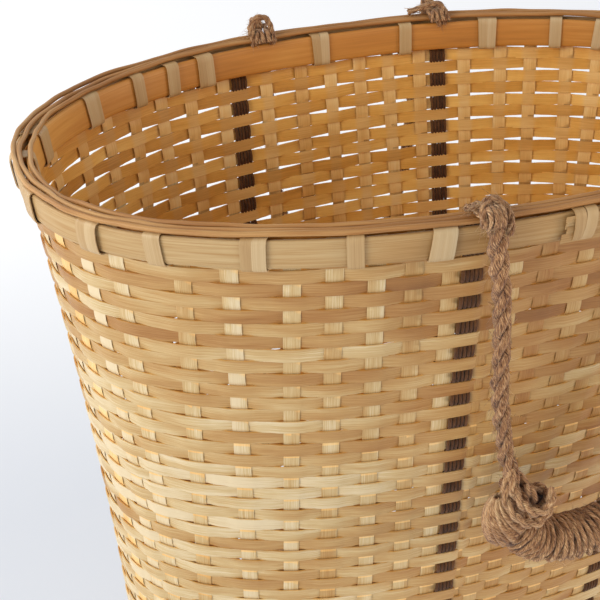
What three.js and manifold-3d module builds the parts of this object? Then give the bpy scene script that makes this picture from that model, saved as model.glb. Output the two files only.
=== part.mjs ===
import * as THREE from 'three';
import { mergeVertices } from 'three/addons/utils/BufferGeometryUtils.js';
import Module from 'manifold-3d';

const wasm = await Module();
wasm.setup();

// Oval bamboo basket, open at the top, with two swinging rope handles on its long sides.
// Millimetres, +Z up, X along the long axis, origin on the floor under the middle of the base.

// Driving dimensions
const basketHeight = 370;
const mouthHalfLength = 240;
const mouthHalfWidth = 145;
const endInset = 38;
const sideInset = 42;
const ovalPower = 2.22;
const taperPower = 1.5;
const rimSaddle = 2.4;
const clearance = 0.3;
const overrun = 2;
const joinTolerance = 1e-4;

// Wall and base
const wallThickness = 3;
const wallSegments = 72;
const bandDepth = 22;
const bandGapThickness = 1.2;
const ribStep = 8;
const ribThickness = 1.9;
const gapThickness = 0.8;
const ribLevelShares = [0, 0.4, 0.75, 1];
const rimSteps = 2000;
const baseThickness = 3.4;
const baseSegments = 72;

// Rim hoops: the outer face of the outer hoop is the mouth's size
const hoopHeight = 15.6;
const hoopThickness = 3.4;
const hoopEdge = 1;

// Rim rods
const rodDiameter = 2.8;
const rodSegments = 54;
const rodSides = 5;
const rodGap = 0.5;

// Rim lashings
const wideLashing = 11.6;
const narrowLashing = 8.4;
const lashingThickness = 0.9;
const lashingGap = 0.5;

// Wall straps
const strapWidth = 11;
const strapLevels = 5;
const strapFoot = 14;

// Rope eyes and the ring of each handle rope that hangs in them
const eyeRope = 3.8;
const eyeHalfSpread = 5.2;
const eyeReach = 5.8;
const eyeCorner = 2.6;
const eyeSteps = 16;
const eyeSides = 6;
const ringRope = 4.4;
const ringPlay = 0.35;
const ringSteps = 14;
const ringSides = 6;

// Handle ropes
const ropeDiameter = 9;
const ropeSides = 8;
const ropeSteps = 14;

// Grip
const gripDiameter = 26;
const gripChord = 112;
const gripSag = 37;
const gripDrop = 202;
const gripSegments = 14;
const coreSides = 10;
const windingCord = 3.6;
const windingTurns = 24;
const windingStepsPerTurn = 10;
const windingSides = 5;
const capLength = 7;
const capSegments = 3;
const capSides = 10;
const capTaperShare = 0.6;
const hitchDiameter = 19;
const hitchBite = 2.5;
const hitchShare = 0.065;
const hitchSides = 12;
const hitchRings = 8;

// Places round the rim, as shares of a turn from the right end of the long axis
const wideLashingShares = [
  0.0, 0.062, 0.1287, 0.1907, 0.2626, 0.3178, 0.39, 0.445,
  0.5186, 0.5702, 0.6444, 0.708, 0.7497, 0.842, 0.898, 0.952,
];
const narrowLashingShares = [
  0.1549, 0.2296, 0.3361, 0.3569, 0.4793, 0.604, 0.6798, 0.814, 0.869, 0.924,
];
const strapTurnShares = {
  front_left: [0.7188, 0.7275],
  front_right: [0.8032, 0.7972],
  back_right: [0.2148, 0.2045],
  back_left: [0.2987, 0.3105],
};
const backStakeShares = [
  [0.149, 0.13], [0.1683, 0.155], [0.1838, 0.172], [0.2022, 0.189], [0.2232, 0.2125], [0.2372, 0.225],
  [0.2478, 0.243], [0.2581, 0.255], [0.27, 0.2725], [0.286, 0.2905], [0.3065, 0.3185], [0.3242, 0.3345],
  [0.3407, 0.352], [0.3577, 0.372], [0.376, 0.394], [0.3975, 0.412], [0.427, 0.434],
];
const frontStakeShares = [
  [0.5782, 0.5689], [0.6131, 0.59], [0.6326, 0.625], [0.6574, 0.646], [0.6726, 0.667], [0.6871, 0.6874],
  [0.6995, 0.7065], [0.712, 0.719], [0.7245, 0.7305], [0.7331, 0.739], [0.7438, 0.747], [0.7545, 0.7555],
  [0.7655, 0.7645], [0.7775, 0.7745], [0.796, 0.79],
];
const leftStakes = 6;
const rightStakes = 16;

// Handles: side of the basket (-1 front, 1 back), X of each rope, and each rope's route.
// A route's points are steps towards the handle's middle and steps down from the swing axis, and it
// ends in the hitch.
const handles = {
  front: { side: -1, ropeX: [-50, 80] },
  back: { side: 1, ropeX: [-61, 59] },
};
const ropeRoute = [
  [0, 3.2], [0.6, 8], [3.4, 25], [6.6, 46], [8.6, 74], [10, 98], [14, 122], [18.6, 143],
];

// Colours
const paleBamboo = 0xd9b679;
const hoopBamboo = 0xdcbc82;
const darkBamboo = 0xb98346;
const rodBamboo = 0xa9763f;
const juteRope = 0x9c7c5c;
const darkJute = 0x5e402a;

const fullTurn = 2 * Math.PI;

// The basket's plan and profile

function signedPower(value, power) {
  return Math.sign(value) * Math.abs(value) ** power;
}

// A point at a share of a turn, a depth below the rim and a distance out from the hoop's outer face.
function basketPoint(turn, depth, out) {
  const angle = turn * fullTurn;
  const heightShare = 1 - depth / basketHeight;
  const taper = 1 - heightShare ** taperPower;
  const halfLength = mouthHalfLength - endInset * taper + out;
  const halfWidth = mouthHalfWidth - sideInset * taper + out;
  const rise = -rimSaddle * Math.cos(2 * angle) * heightShare;
  return new THREE.Vector3(
    halfLength * signedPower(Math.cos(angle), 2 / ovalPower),
    halfWidth * signedPower(Math.sin(angle), 2 / ovalPower),
    basketHeight - depth + rise,
  );
}

// Layers of the rim, as distances out from the hoop's outer face
const wallOuter = -hoopThickness - clearance;
const wallInner = wallOuter - wallThickness;
const innerHoopOuter = wallInner - clearance;
const rimInner = innerHoopOuter - hoopThickness;
const rodRise = clearance + lashingThickness + lashingGap + rodDiameter / 2;
const rodPitch = rodDiameter + rodGap;
const rodTop = rodRise + rodDiameter / 2;

// Meshes from loops of points

function positionsGeometry(points, triangles) {
  const geometry = new THREE.BufferGeometry();
  const flat = points.flatMap((point) => [point.x, point.y, point.z]);
  geometry.setAttribute('position', new THREE.Float32BufferAttribute(flat, 3));
  geometry.setIndex(triangles);
  return geometry;
}

function signedVolume(positions, triangles) {
  let volume = 0;
  const a = new THREE.Vector3();
  const b = new THREE.Vector3();
  const c = new THREE.Vector3();
  for (let i = 0; i < triangles.length; i += 3) {
    a.fromBufferAttribute(positions, triangles[i]);
    b.fromBufferAttribute(positions, triangles[i + 1]);
    c.fromBufferAttribute(positions, triangles[i + 2]);
    volume += a.dot(b.cross(c)) / 6;
  }
  return volume;
}

// Joins equal points and turns the faces outwards.
function tidyGeometry(geometry) {
  geometry.deleteAttribute('normal');
  geometry.deleteAttribute('uv');
  const merged = mergeVertices(geometry, joinTolerance);
  const triangles = Array.from(merged.index.array);
  if (signedVolume(merged.attributes.position, triangles) < 0) {
    for (let i = 0; i < triangles.length; i += 3) {
      [triangles[i], triangles[i + 1]] = [triangles[i + 1], triangles[i]];
    }
  }
  merged.setIndex(triangles);
  return merged;
}

function toSolid(geometry) {
  const tidy = tidyGeometry(geometry);
  return new wasm.Manifold(new wasm.Mesh({
    numProp: 3,
    vertProperties: new Float32Array(tidy.attributes.position.array),
    triVerts: new Uint32Array(tidy.index.array),
  }));
}

function toGeometry(solid) {
  const mesh = solid.getMesh();
  const geometry = new THREE.BufferGeometry();
  geometry.setAttribute('position', new THREE.BufferAttribute(mesh.vertProperties, 3));
  geometry.setIndex(Array.from(mesh.triVerts));
  return geometry;
}

// Skins a row of equal loops. A closed row joins its last loop to its first; an open one is capped.
function skinLoops(loops, closedRow) {
  const sides = loops[0].length;
  const triangles = [];
  const rows = closedRow ? loops.length : loops.length - 1;
  for (let i = 0; i < rows; i += 1) {
    const here = i * sides;
    const next = ((i + 1) % loops.length) * sides;
    for (let j = 0; j < sides; j += 1) {
      const k = (j + 1) % sides;
      triangles.push(here + j, here + k, next + k, here + j, next + k, next + j);
    }
  }
  if (!closedRow) {
    const last = (loops.length - 1) * sides;
    for (let j = 1; j < sides - 1; j += 1) {
      triangles.push(0, j + 1, j, last, last + j, last + j + 1);
    }
  }
  return tidyGeometry(positionsGeometry(loops.flat(), triangles));
}

// A ring that follows the basket's plan; the section is pairs of depth and distance out.
function planRing(section, segments) {
  const loops = [];
  for (let i = 0; i < segments; i += 1) {
    loops.push(section.map(([depth, out]) => basketPoint(i / segments, depth, out)));
  }
  return skinLoops(loops, true);
}

function polygonShape(radius, sides) {
  const points = [];
  for (let i = 0; i < sides; i += 1) {
    const angle = (i / sides) * fullTurn;
    points.push(new THREE.Vector2(radius * Math.cos(angle), radius * Math.sin(angle)));
  }
  return new THREE.Shape(points);
}

function tube(points, diameter, sides, steps) {
  const path = new THREE.CatmullRomCurve3(points, false, 'centripetal');
  return tidyGeometry(new THREE.ExtrudeGeometry(polygonShape(diameter / 2, sides), {
    steps, extrudePath: path, bevelEnabled: false,
  }));
}

// Scene graph

const basket = new THREE.Group();

function addPiece(name, geometry, color, roughness) {
  const material = new THREE.MeshStandardMaterial({ color, roughness, metalness: 0 });
  const mesh = new THREE.Mesh(geometry, material);
  mesh.name = name;
  basket.add(mesh);
}

// Wall: a woven shell with a rib along each stake, a slot for each strap and a window for each lashing

function levelDepths(count, top, bottom) {
  return Array.from({ length: count + 1 }, (_, i) => top + (bottom - top) * (i / count));
}

// Share of a turn that a width along the rim takes up at a place round it.
function turnShareOf(width, turn) {
  const step = 1 / wallSegments;
  const reach = basketPoint(turn + step / 2, 0, 0).distanceTo(basketPoint(turn - step / 2, 0, 0));
  return (width / reach) * step;
}

// Stakes that part a stretch of the rim into equal lengths.
function evenStakes(from, to, count) {
  const lengths = [0];
  for (let i = 1; i <= rimSteps; i += 1) {
    const here = basketPoint(from + (to - from) * (i / rimSteps), 0, 0);
    const before = basketPoint(from + (to - from) * ((i - 1) / rimSteps), 0, 0);
    lengths.push(lengths[i - 1] + here.distanceTo(before));
  }
  return Array.from({ length: count }, (_, n) => {
    const goal = lengths[rimSteps] * ((n + 1) / (count + 1));
    const step = lengths.findIndex((length) => length >= goal);
    const turn = from + (to - from) * (step / rimSteps);
    return [turn, turn];
  });
}

const stakes = [
  ...backStakeShares,
  ...evenStakes(backStakeShares[backStakeShares.length - 1][0], frontStakeShares[0][0], leftStakes),
  ...frontStakeShares,
  ...evenStakes(frontStakeShares[frontStakeShares.length - 1][0], 1 + backStakeShares[0][0], rightStakes),
];

// Between the hoops the shell is full thickness at each stake. Below them a stake is a lower rib, and
// halfway between two stakes the shell thins to a single weaver. Its top edge is thin all the way round.
function ribbedShell() {
  const ribDepth = bandDepth + ribStep;
  const lowDepths = ribLevelShares.map((share) => ribDepth + (basketHeight - ribDepth) * share);
  const depths = [0, bandDepth, ...lowDepths];
  const recessOf = (thickness) => (wallThickness - thickness) / 2;
  const column = ([rimTurn, footTurn], bandThickness, lowThickness) => {
    const thicknesses = [bandGapThickness, bandThickness, ...lowDepths.map(() => lowThickness)];
    const facePoints = (face, sign) => depths.map((depth, i) => {
      const turn = rimTurn + (footTurn - rimTurn) * (depth / basketHeight);
      return basketPoint(turn, depth, face + sign * recessOf(thicknesses[i]));
    });
    return [...facePoints(wallOuter, -1), ...facePoints(wallInner, 1).reverse()];
  };
  const loops = stakes.flatMap((stake, i) => {
    const lap = i + 1 < stakes.length ? 0 : 1;
    const halfway = stakes[(i + 1) % stakes.length].map((turn, end) => (turn + lap + stake[end]) / 2);
    return [
      column(stake, wallThickness, ribThickness),
      column(halfway, bandGapThickness, gapThickness),
    ];
  });
  return skinLoops(loops, true);
}

function strapPanel(shares, topDepth, bottomDepth, grow, outer, inner) {
  const [topTurn, footTurn] = shares;
  const loops = levelDepths(strapLevels, topDepth, bottomDepth).map((depth) => {
    const turn = topTurn + (footTurn - topTurn) * (depth / basketHeight);
    const half = turnShareOf(strapWidth + 2 * grow, turn) / 2;
    return [
      basketPoint(turn - half, depth, outer),
      basketPoint(turn + half, depth, outer),
      basketPoint(turn + half, depth, inner),
      basketPoint(turn - half, depth, inner),
    ];
  });
  return skinLoops(loops, false);
}

function lashingWindow(turn, width) {
  const half = turnShareOf(width + 2 * clearance, turn) / 2;
  const top = hoopHeight;
  const bottom = hoopHeight + lashingGap + lashingThickness + clearance;
  const outer = wallOuter + overrun;
  const inner = wallInner - overrun;
  const section = [[top, outer], [bottom, outer], [bottom, inner], [top, inner]];
  const loops = [turn - half, turn + half].map(
    (place) => section.map(([depth, out]) => basketPoint(place, depth, out)),
  );
  return skinLoops(loops, false);
}

const lashings = [
  ...wideLashingShares.map((turn) => ({ turn, width: wideLashing })),
  ...narrowLashingShares.map((turn) => ({ turn, width: narrowLashing })),
].sort((a, b) => a.turn - b.turn);
const strapFootDepth = basketHeight - strapFoot;

let wall = toSolid(ribbedShell());
for (const shares of Object.values(strapTurnShares)) {
  const slot = strapPanel(
    shares, -overrun, strapFootDepth + clearance, clearance, wallOuter + overrun, wallInner - overrun,
  );
  wall = wall.subtract(toSolid(slot));
}
for (const { turn, width } of lashings) {
  wall = wall.subtract(toSolid(lashingWindow(turn, width)));
}
addPiece('wall_weave', toGeometry(wall), paleBamboo, 0.6);

// Base: a flat mat inside the foot of the wall

function baseMat() {
  const loops = [basketHeight, basketHeight - baseThickness].map((depth) => {
    const loop = [];
    for (let i = 0; i < baseSegments; i += 1) {
      const point = basketPoint(i / baseSegments, depth, wallInner - clearance);
      loop.push(new THREE.Vector3(point.x, point.y, basketHeight - depth));
    }
    return loop;
  });
  return skinLoops(loops, false);
}
addPiece('base_mat', baseMat(), darkBamboo, 0.65);

// Straps fill their slots in the wall

for (const [place, shares] of Object.entries(strapTurnShares)) {
  addPiece(
    `wall_strap_${place}`, strapPanel(shares, 0, strapFootDepth, 0, wallOuter, wallInner), darkJute, 0.95,
  );
}

// Hoops

// Section with its two bare edges eased; the other face lies against the wall.
function hoopSection(bare, covered) {
  const eased = bare + Math.sign(covered - bare) * hoopEdge;
  return [
    [hoopEdge, bare], [hoopHeight - hoopEdge, bare], [hoopHeight, eased],
    [hoopHeight, covered], [0, covered], [0, eased],
  ];
}
addPiece('outer_rim_hoop', planRing(hoopSection(0, -hoopThickness), wallSegments), hoopBamboo, 0.5);
addPiece('inner_rim_hoop', planRing(hoopSection(rimInner, innerHoopOuter), wallSegments), darkBamboo, 0.5);

// Rods lie side by side on the rim

function rodSection(out) {
  const section = [];
  for (let i = 0; i < rodSides; i += 1) {
    const angle = (i / rodSides) * fullTurn;
    const reach = rodDiameter / 2;
    section.push([-rodRise - reach * Math.cos(angle), out + reach * Math.sin(angle)]);
  }
  return section;
}

const rimMiddle = rimInner / 2;
const rods = { outer: rodPitch, middle: 0, inner: -rodPitch };
for (const [place, shift] of Object.entries(rods)) {
  addPiece(`rim_rod_${place}`, planRing(rodSection(rimMiddle + shift), rodSegments), rodBamboo, 0.55);
}

// Lashings: each is a flat strip closed round both hoops and the wall

function lashingRing(turn, width) {
  const half = turnShareOf(width, turn) / 2;
  const loopAt = (gap) => {
    const low = hoopHeight + gap;
    const outer = gap;
    const inner = rimInner - gap;
    const corner = hoopEdge + gap * (1 - Math.tan(Math.PI / 8));
    return [
      [-gap, outer - corner], [corner - gap, outer], [low - corner, outer], [low, outer - corner],
      [low, inner + corner], [low - corner, inner], [corner - gap, inner], [-gap, inner + corner],
    ];
  };
  const inside = loopAt(lashingGap);
  const outside = loopAt(lashingGap + lashingThickness);
  const loops = inside.map(([depth, out], i) => [
    basketPoint(turn - half, depth, out),
    basketPoint(turn + half, depth, out),
    basketPoint(turn + half, ...outside[i]),
    basketPoint(turn - half, ...outside[i]),
  ]);
  return skinLoops(loops, true);
}

lashings.forEach(({ turn, width }, i) => {
  const number = String(i + 1).padStart(2, '0');
  addPiece(`rim_lashing_${number}`, lashingRing(turn, width), paleBamboo, 0.5);
});

// Handles

// The hoop's outer face at an X along a long side.
function rimHalfWidthAt(x) {
  return mouthHalfWidth * (1 - Math.abs(x / mouthHalfLength) ** ovalPower) ** (1 / ovalPower);
}

function rimHeightAt(x) {
  const cosine = signedPower(x / mouthHalfLength, ovalPower / 2);
  return basketHeight - rimSaddle * (2 * cosine ** 2 - 1);
}

const eyeRise = rodTop + clearance + eyeRope / 2;
const ringRadius = (eyeRope + ringRope) / 2 + ringPlay;

// Both handles swing about lines along X, held clear of the rim where it reaches out furthest.
const nearestRopeX = Math.min(...Object.values(handles).flatMap(({ ropeX }) => ropeX.map(Math.abs)));
const axis = { y: rimHalfWidthAt(nearestRopeX) + eyeReach, z: rimHeightAt(nearestRopeX) + eyeRise };
console.log(`swing axes at Y ${axis.y.toFixed(3)} mm either way, Z ${axis.z.toFixed(3)} mm`);

// Eye: a loop lying over the rods, its closed end held out past the rim
function ropeEye(handle, x) {
  const farX = Math.abs(x) + eyeHalfSpread + eyeRope;
  const rodsInner = rimHalfWidthAt(farX) + rimMiddle - rodPitch - rodDiameter / 2;
  const footY = rodsInner - clearance - eyeRope / 2;
  const bend = eyeRope;
  const eased = eyeCorner * (1 - Math.SQRT1_2);
  const half = [
    [eyeHalfSpread, footY, axis.z - eyeRise + clearance + eyeRope / 2],
    [eyeHalfSpread, footY, axis.z - bend],
    [eyeHalfSpread, footY + bend, axis.z],
    [eyeHalfSpread, axis.y - 2 * eyeCorner, axis.z],
    [eyeHalfSpread, axis.y - eyeCorner, axis.z],
    [eyeHalfSpread - eased, axis.y - eased, axis.z],
    [eyeHalfSpread - eyeCorner, axis.y, axis.z],
  ];
  const place = ([along, y, z], sign) => new THREE.Vector3(x + sign * along, handle.side * y, z);
  const points = [...half.map((p) => place(p, -1)), ...half.reverse().map((p) => place(p, 1))];
  return tube(points, eyeRope, eyeSides, eyeSteps);
}

function ring(x, y, z, radius, diameter) {
  const loops = [];
  for (let i = 0; i < ringSteps; i += 1) {
    const angle = (i / ringSteps) * fullTurn;
    const loop = [];
    for (let j = 0; j < ringSides; j += 1) {
      const turn = (j / ringSides) * fullTurn;
      const reach = radius + (diameter / 2) * Math.cos(turn);
      loop.push(new THREE.Vector3(
        x + (diameter / 2) * Math.sin(turn), y + reach * Math.cos(angle), z + reach * Math.sin(angle),
      ));
    }
    loops.push(loop);
  }
  return skinLoops(loops, true);
}

// Grip line: an arc that sags between its ends, with its lowest point under the handle's middle
const gripRadius = (gripChord ** 2 / 4 + gripSag ** 2) / (2 * gripSag);
const gripHalfAngle = Math.asin(gripChord / 2 / gripRadius);

function gripFrame(handle, share) {
  const angle = (2 * share - 1) * gripHalfAngle;
  const middleX = (handle.ropeX[0] + handle.ropeX[1]) / 2;
  const y = handle.side * axis.y;
  const centreZ = axis.z - gripDrop + gripRadius;
  const radial = new THREE.Vector3(Math.sin(angle), 0, -Math.cos(angle));
  const centre = new THREE.Vector3(middleX, y, centreZ);
  return {
    point: radial.clone().multiplyScalar(gripRadius).add(centre),
    radial,
    along: new THREE.Vector3(Math.cos(angle), 0, Math.sin(angle)),
  };
}

function gripPoint(frame, reach, angle) {
  const side = new THREE.Vector3(0, 1, 0);
  return frame.point.clone()
    .addScaledVector(frame.radial, reach * Math.cos(angle))
    .addScaledVector(side, reach * Math.sin(angle));
}

function gripTube(handle, from, to, segments, sides, radiusAt) {
  const loops = [];
  for (let i = 0; i <= segments; i += 1) {
    const share = i / segments;
    const frame = gripFrame(handle, from + (to - from) * share);
    const loop = [];
    for (let j = 0; j < sides; j += 1) {
      loop.push(gripPoint(frame, radiusAt(share), (j / sides) * fullTurn));
    }
    loops.push(loop);
  }
  return skinLoops(loops, false);
}

const gripLength = 2 * gripRadius * gripHalfAngle;
const windingReach = gripDiameter / 2 - windingCord / 2;
const stepShrink = Math.cos(fullTurn / windingStepsPerTurn / 2);
const coreRadius = windingReach * stepShrink - windingCord / 2 - clearance;
const capShare = capLength / gripLength;
const capInnerRadius = windingReach + windingCord / 2;

// Winding: one cord turned round the core, each end running straight into an end cap
function windingPoints(handle) {
  const startShare = capShare + (clearance + windingCord) / gripLength;
  const points = [];
  const steps = windingTurns * windingStepsPerTurn;
  for (let i = 0; i <= steps; i += 1) {
    const share = startShare + (1 - 2 * startShare) * (i / steps);
    const angle = (i / windingStepsPerTurn) * fullTurn;
    points.push(gripPoint(gripFrame(handle, share), windingReach, angle));
  }
  const lead = (frame, sign) => {
    const start = sign < 0 ? points[0] : points[points.length - 1];
    return start.clone().addScaledVector(frame.along, sign * windingCord);
  };
  points.unshift(lead(gripFrame(handle, startShare), -1));
  points.push(lead(gripFrame(handle, 1 - startShare), 1));
  return points;
}

// Least distance between the cord's surface and itself, over points a half turn or more apart.
function leastGap(points, diameter, nearSteps) {
  let least = Infinity;
  for (let i = 0; i < points.length; i += 1) {
    for (let j = i + nearSteps; j < points.length; j += 1) {
      least = Math.min(least, points[i].distanceTo(points[j]));
    }
  }
  return least - diameter;
}

function winding(handle, name) {
  const points = windingPoints(handle);
  const gap = leastGap(points, windingCord, windingStepsPerTurn / 2);
  console.log(`${name}: least gap of the winding to itself ${gap.toFixed(2)} mm`);
  const frames = cordFrames(points);
  const loops = points.map((point, i) => {
    const loop = [];
    for (let j = 0; j < windingSides; j += 1) {
      const angle = (j / windingSides) * fullTurn;
      loop.push(point.clone()
        .addScaledVector(frames[i].across, (windingCord / 2) * Math.cos(angle))
        .addScaledVector(frames[i].up, (windingCord / 2) * Math.sin(angle)));
    }
    return loop;
  });
  return skinLoops(loops, false);
}

// Frames along a cord that turn as little as they can.
function cordFrames(points) {
  const frames = [];
  let across = new THREE.Vector3(0, 0, 1);
  for (let i = 0; i < points.length; i += 1) {
    const before = points[Math.max(i - 1, 0)];
    const after = points[Math.min(i + 1, points.length - 1)];
    const along = after.clone().sub(before).normalize();
    across = across.clone().addScaledVector(along, -across.dot(along)).normalize();
    frames.push({ across, up: along.clone().cross(across) });
  }
  return frames;
}

function hitchSolid(centre, diameter) {
  const geometry = new THREE.SphereGeometry(diameter / 2, hitchSides, hitchRings);
  geometry.translate(centre.x, centre.y, centre.z);
  return toSolid(geometry);
}

function hitchPoint(handle, index) {
  const frame = gripFrame(handle, index === 0 ? hitchShare : 1 - hitchShare);
  return gripPoint(frame, hitchBite - (gripDiameter + hitchDiameter) / 2, 0);
}

function handleRope(handle, index) {
  const x = handle.ropeX[index];
  const inward = index === 0 ? 1 : -1;
  const y = handle.side * axis.y;
  const points = ropeRoute.map(([across, down]) => new THREE.Vector3(x + inward * across, y, axis.z - down));
  points.push(hitchPoint(handle, index));
  const cord = toSolid(tube(points, ropeDiameter, ropeSides, ropeSteps));
  return cord.add(toSolid(ring(x, y, axis.z, ringRadius, ringRope)));
}

for (const [place, handle] of Object.entries(handles)) {
  const name = `${place}_grip`;
  const envelope = toSolid(gripTube(
    handle, 0, 1, gripSegments, coreSides, () => gripDiameter / 2 + clearance / stepShrink,
  ));
  const core = toSolid(gripTube(
    handle, capShare / 2, 1 - capShare / 2, gripSegments, coreSides, () => coreRadius,
  ));
  addPiece(`${name}_core`, toGeometry(core), juteRope, 0.95);
  addPiece(`${name}_winding`, winding(handle, name), juteRope, 0.95);
  ['left', 'right'].forEach((hand, index) => {
    const capTo = index === 0 ? capShare : 1 - capShare;
    const cap = toSolid(gripTube(
      handle, index, capTo, capSegments, capSides,
      (share) => capInnerRadius * Math.sqrt(1 - capTaperShare * (1 - share) ** 2),
    ));
    const coreRoom = toSolid(gripTube(
      handle, capShare / 2 - clearance / gripLength, 1 - capShare / 2 + clearance / gripLength,
      gripSegments, coreSides, () => coreRadius + clearance,
    ));
    addPiece(`${name}_cap_${hand}`, toGeometry(cap.subtract(coreRoom)), juteRope, 0.95);
    const hitchCentre = hitchPoint(handle, index);
    const hitch = hitchSolid(hitchCentre, hitchDiameter).subtract(envelope);
    const hitchRoom = hitchSolid(hitchCentre, hitchDiameter + 2 * clearance);
    addPiece(`${name}_hitch_${hand}`, toGeometry(hitch), juteRope, 0.95);
    const rope = handleRope(handle, index).subtract(hitchRoom).subtract(envelope);
    addPiece(`${place}_rope_${hand}`, toGeometry(rope), juteRope, 0.95);
    addPiece(`rope_eye_${place}_${hand}`, ropeEye(handle, handle.ropeX[index]), juteRope, 0.95);
  });
}

export default basket;
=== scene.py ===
import random
from bisect import bisect_right
from math import asin, atan2, copysign, cos, exp, floor, pi, radians, sin, sqrt, tanh

import bmesh
import bpy
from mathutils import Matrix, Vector, noise


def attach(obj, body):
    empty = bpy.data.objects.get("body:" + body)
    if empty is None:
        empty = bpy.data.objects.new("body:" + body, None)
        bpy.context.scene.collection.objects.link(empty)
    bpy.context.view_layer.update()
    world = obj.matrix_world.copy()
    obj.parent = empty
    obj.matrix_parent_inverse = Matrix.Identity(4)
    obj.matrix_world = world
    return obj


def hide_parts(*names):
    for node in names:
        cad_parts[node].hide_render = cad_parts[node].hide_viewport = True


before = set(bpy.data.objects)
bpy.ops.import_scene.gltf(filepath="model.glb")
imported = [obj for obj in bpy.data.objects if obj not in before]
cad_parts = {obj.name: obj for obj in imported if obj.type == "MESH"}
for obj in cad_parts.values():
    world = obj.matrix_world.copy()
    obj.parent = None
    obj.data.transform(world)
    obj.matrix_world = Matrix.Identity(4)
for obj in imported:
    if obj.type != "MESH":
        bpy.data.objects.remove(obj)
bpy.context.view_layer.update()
print("frame loaded:", len(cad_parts), "nodes")

mm = 0.001
fullTurn = 2 * pi
noise.seed_set(7)              # without it the vector noise starts from the clock


# Small helpers

def linear(hexColour):
    channels = [int(hexColour[i:i + 2], 16) / 255 for i in (1, 3, 5)]
    return tuple(c / 12.92 if c <= 0.04045 else ((c + 0.055) / 1.055) ** 2.4 for c in channels) + (1.0,)


def signedPower(value, power):
    return copysign(abs(value) ** power, value)


def crossOver(t):
    # From 0 to 1 with a level stretch in the middle: a strip passes through the wall's middle layer flat.
    return 0.5 - 0.5 * cos(pi * min(max(t, 0), 1)) ** 3


def smooth(share):
    share = min(max(share, 0.0), 1.0)
    return share * share * (3 - 2 * share)


def ripple(x, y, z):
    return noise.noise(Vector((x, y, z)))


def drift(turn, seed, rate=2.0):
    # slow wander that closes on itself after a full turn, from -1 to 1
    angle = turn * fullTurn
    return ripple(rate * cos(angle) + seed * 7.3, rate * sin(angle) - seed * 3.7, seed * 1.9)


def around(side, up, angle):
    return side * cos(angle) + up * sin(angle)


def crownAt(v):
    # 1 in the middle of a strip's width, 0 at its edges
    return 1 - (2 * v - 1) ** 2


def toScene(name, data):
    made = bpy.data.objects.new(name, data)
    bpy.context.scene.collection.objects.link(made)
    return made


def placeAimed(name, data, place, direction):
    # Cameras and lamps look along their own -Z.
    made = toScene(name, data)
    made.location = place
    made.rotation_euler = Vector(direction).to_track_quat("-Z", "Y").to_euler()
    return made


# Camera

cameraLook = {
    "place": (-0.3196, -0.6076, 0.6369), "aim": (0.30933, 0.81072, -0.49705), "lens": 78, "sensor": 36,
    "clip": (0.01, 50),
}
cameraData = bpy.data.cameras.new("camera")
cameraData.lens = cameraLook["lens"]
cameraData.sensor_width = cameraLook["sensor"]
cameraData.clip_start, cameraData.clip_end = cameraLook["clip"]
bpy.context.scene.camera = placeAimed("camera", cameraData, cameraLook["place"], cameraLook["aim"])


# Materials

def addNode(tree, kind, inputs=None, **settings):
    node = tree.nodes.new(kind)
    for name, value in settings.items():
        setattr(node, name, value)
    for name, value in (inputs or {}).items():
        if isinstance(value, bpy.types.NodeSocket):
            tree.links.new(value, node.inputs[name])
        else:
            node.inputs[name].default_value = value
    return node


def newMaterial(name):
    material = bpy.data.materials.new(name)
    material.use_nodes = True
    tree = material.node_tree
    return material, tree, tree.nodes["Principled BSDF"]


def maths(tree, operation, *values, clamp=False):
    node = addNode(tree, "ShaderNodeMath", dict(enumerate(values)), operation=operation, use_clamp=clamp)
    return node.outputs[0]


def mapRange(tree, value, fromRange, toRange, curve="LINEAR"):
    return addNode(tree, "ShaderNodeMapRange", {
        "Value": value, "From Min": fromRange[0], "From Max": fromRange[1],
        "To Min": toRange[0], "To Max": toRange[1]}, interpolation_type=curve).outputs["Result"]


def mixColours(tree, share, first, second, blend="MIX"):
    return addNode(
        tree, "ShaderNodeMix", {0: share, 6: first, 7: second}, data_type="RGBA", blend_type=blend).outputs[2]


def attribute(tree, name):
    return addNode(tree, "ShaderNodeAttribute", attribute_name=name).outputs["Fac"]


def rampColour(tree, place, stops):
    node = addNode(tree, "ShaderNodeValToRGB", {"Fac": place})
    elements = node.color_ramp.elements
    while len(elements) < len(stops):
        elements.new(0.5)
    for element, (spot, colour) in zip(elements, stops):
        element.position = spot
        element.color = linear(colour)
    return node.outputs["Color"]


def fibrous(name, look, noises):
    # What bamboo and jute share: fibre and patch noise move a piece's own tone along the ramp, and the fibres
    # stand out in relief. The UV map is in millimetres, along the strip or yarn and across it.
    material, tree, shader = newMaterial(name)
    uv = addNode(tree, "ShaderNodeUVMap", uv_map="UVMap").outputs["UV"]
    fibres = uv
    if "slant" in look:
        fibres = addNode(tree, "ShaderNodeMapping", {
            "Vector": uv, "Rotation": (0, 0, radians(look["slant"]))}).outputs["Vector"]
    found, shifts = [], []
    kinds = zip((fibres, uv), (look["fibre"], look["patch"]), noises)
    for vector, (length, width, share), (detail, roughness) in kinds:
        stretch = addNode(tree, "ShaderNodeMapping", {"Vector": vector, "Scale": (1 / length, 1 / width, 1)})
        found.append(addNode(tree, "ShaderNodeTexNoise", {
            "Vector": stretch.outputs["Vector"], "Scale": 1.0, "Detail": detail, "Roughness": roughness}))
        shifts.append(maths(tree, "MULTIPLY_ADD", found[-1].outputs["Fac"], share, -share / 2))
    fibre = found[0].outputs["Fac"]
    place = maths(tree, "ADD", maths(tree, "ADD", *shifts), attribute(tree, "tone"), clamp=True)
    strength, depth = look["relief"]
    bump = addNode(tree, "ShaderNodeBump", {"Height": fibre, "Strength": strength, "Distance": depth * mm})
    tree.links.new(bump.outputs["Normal"], shader.inputs["Normal"])
    shader.inputs["Specular IOR Level"].default_value = look["specular"]
    return material, tree, shader, fibre, place


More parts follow.
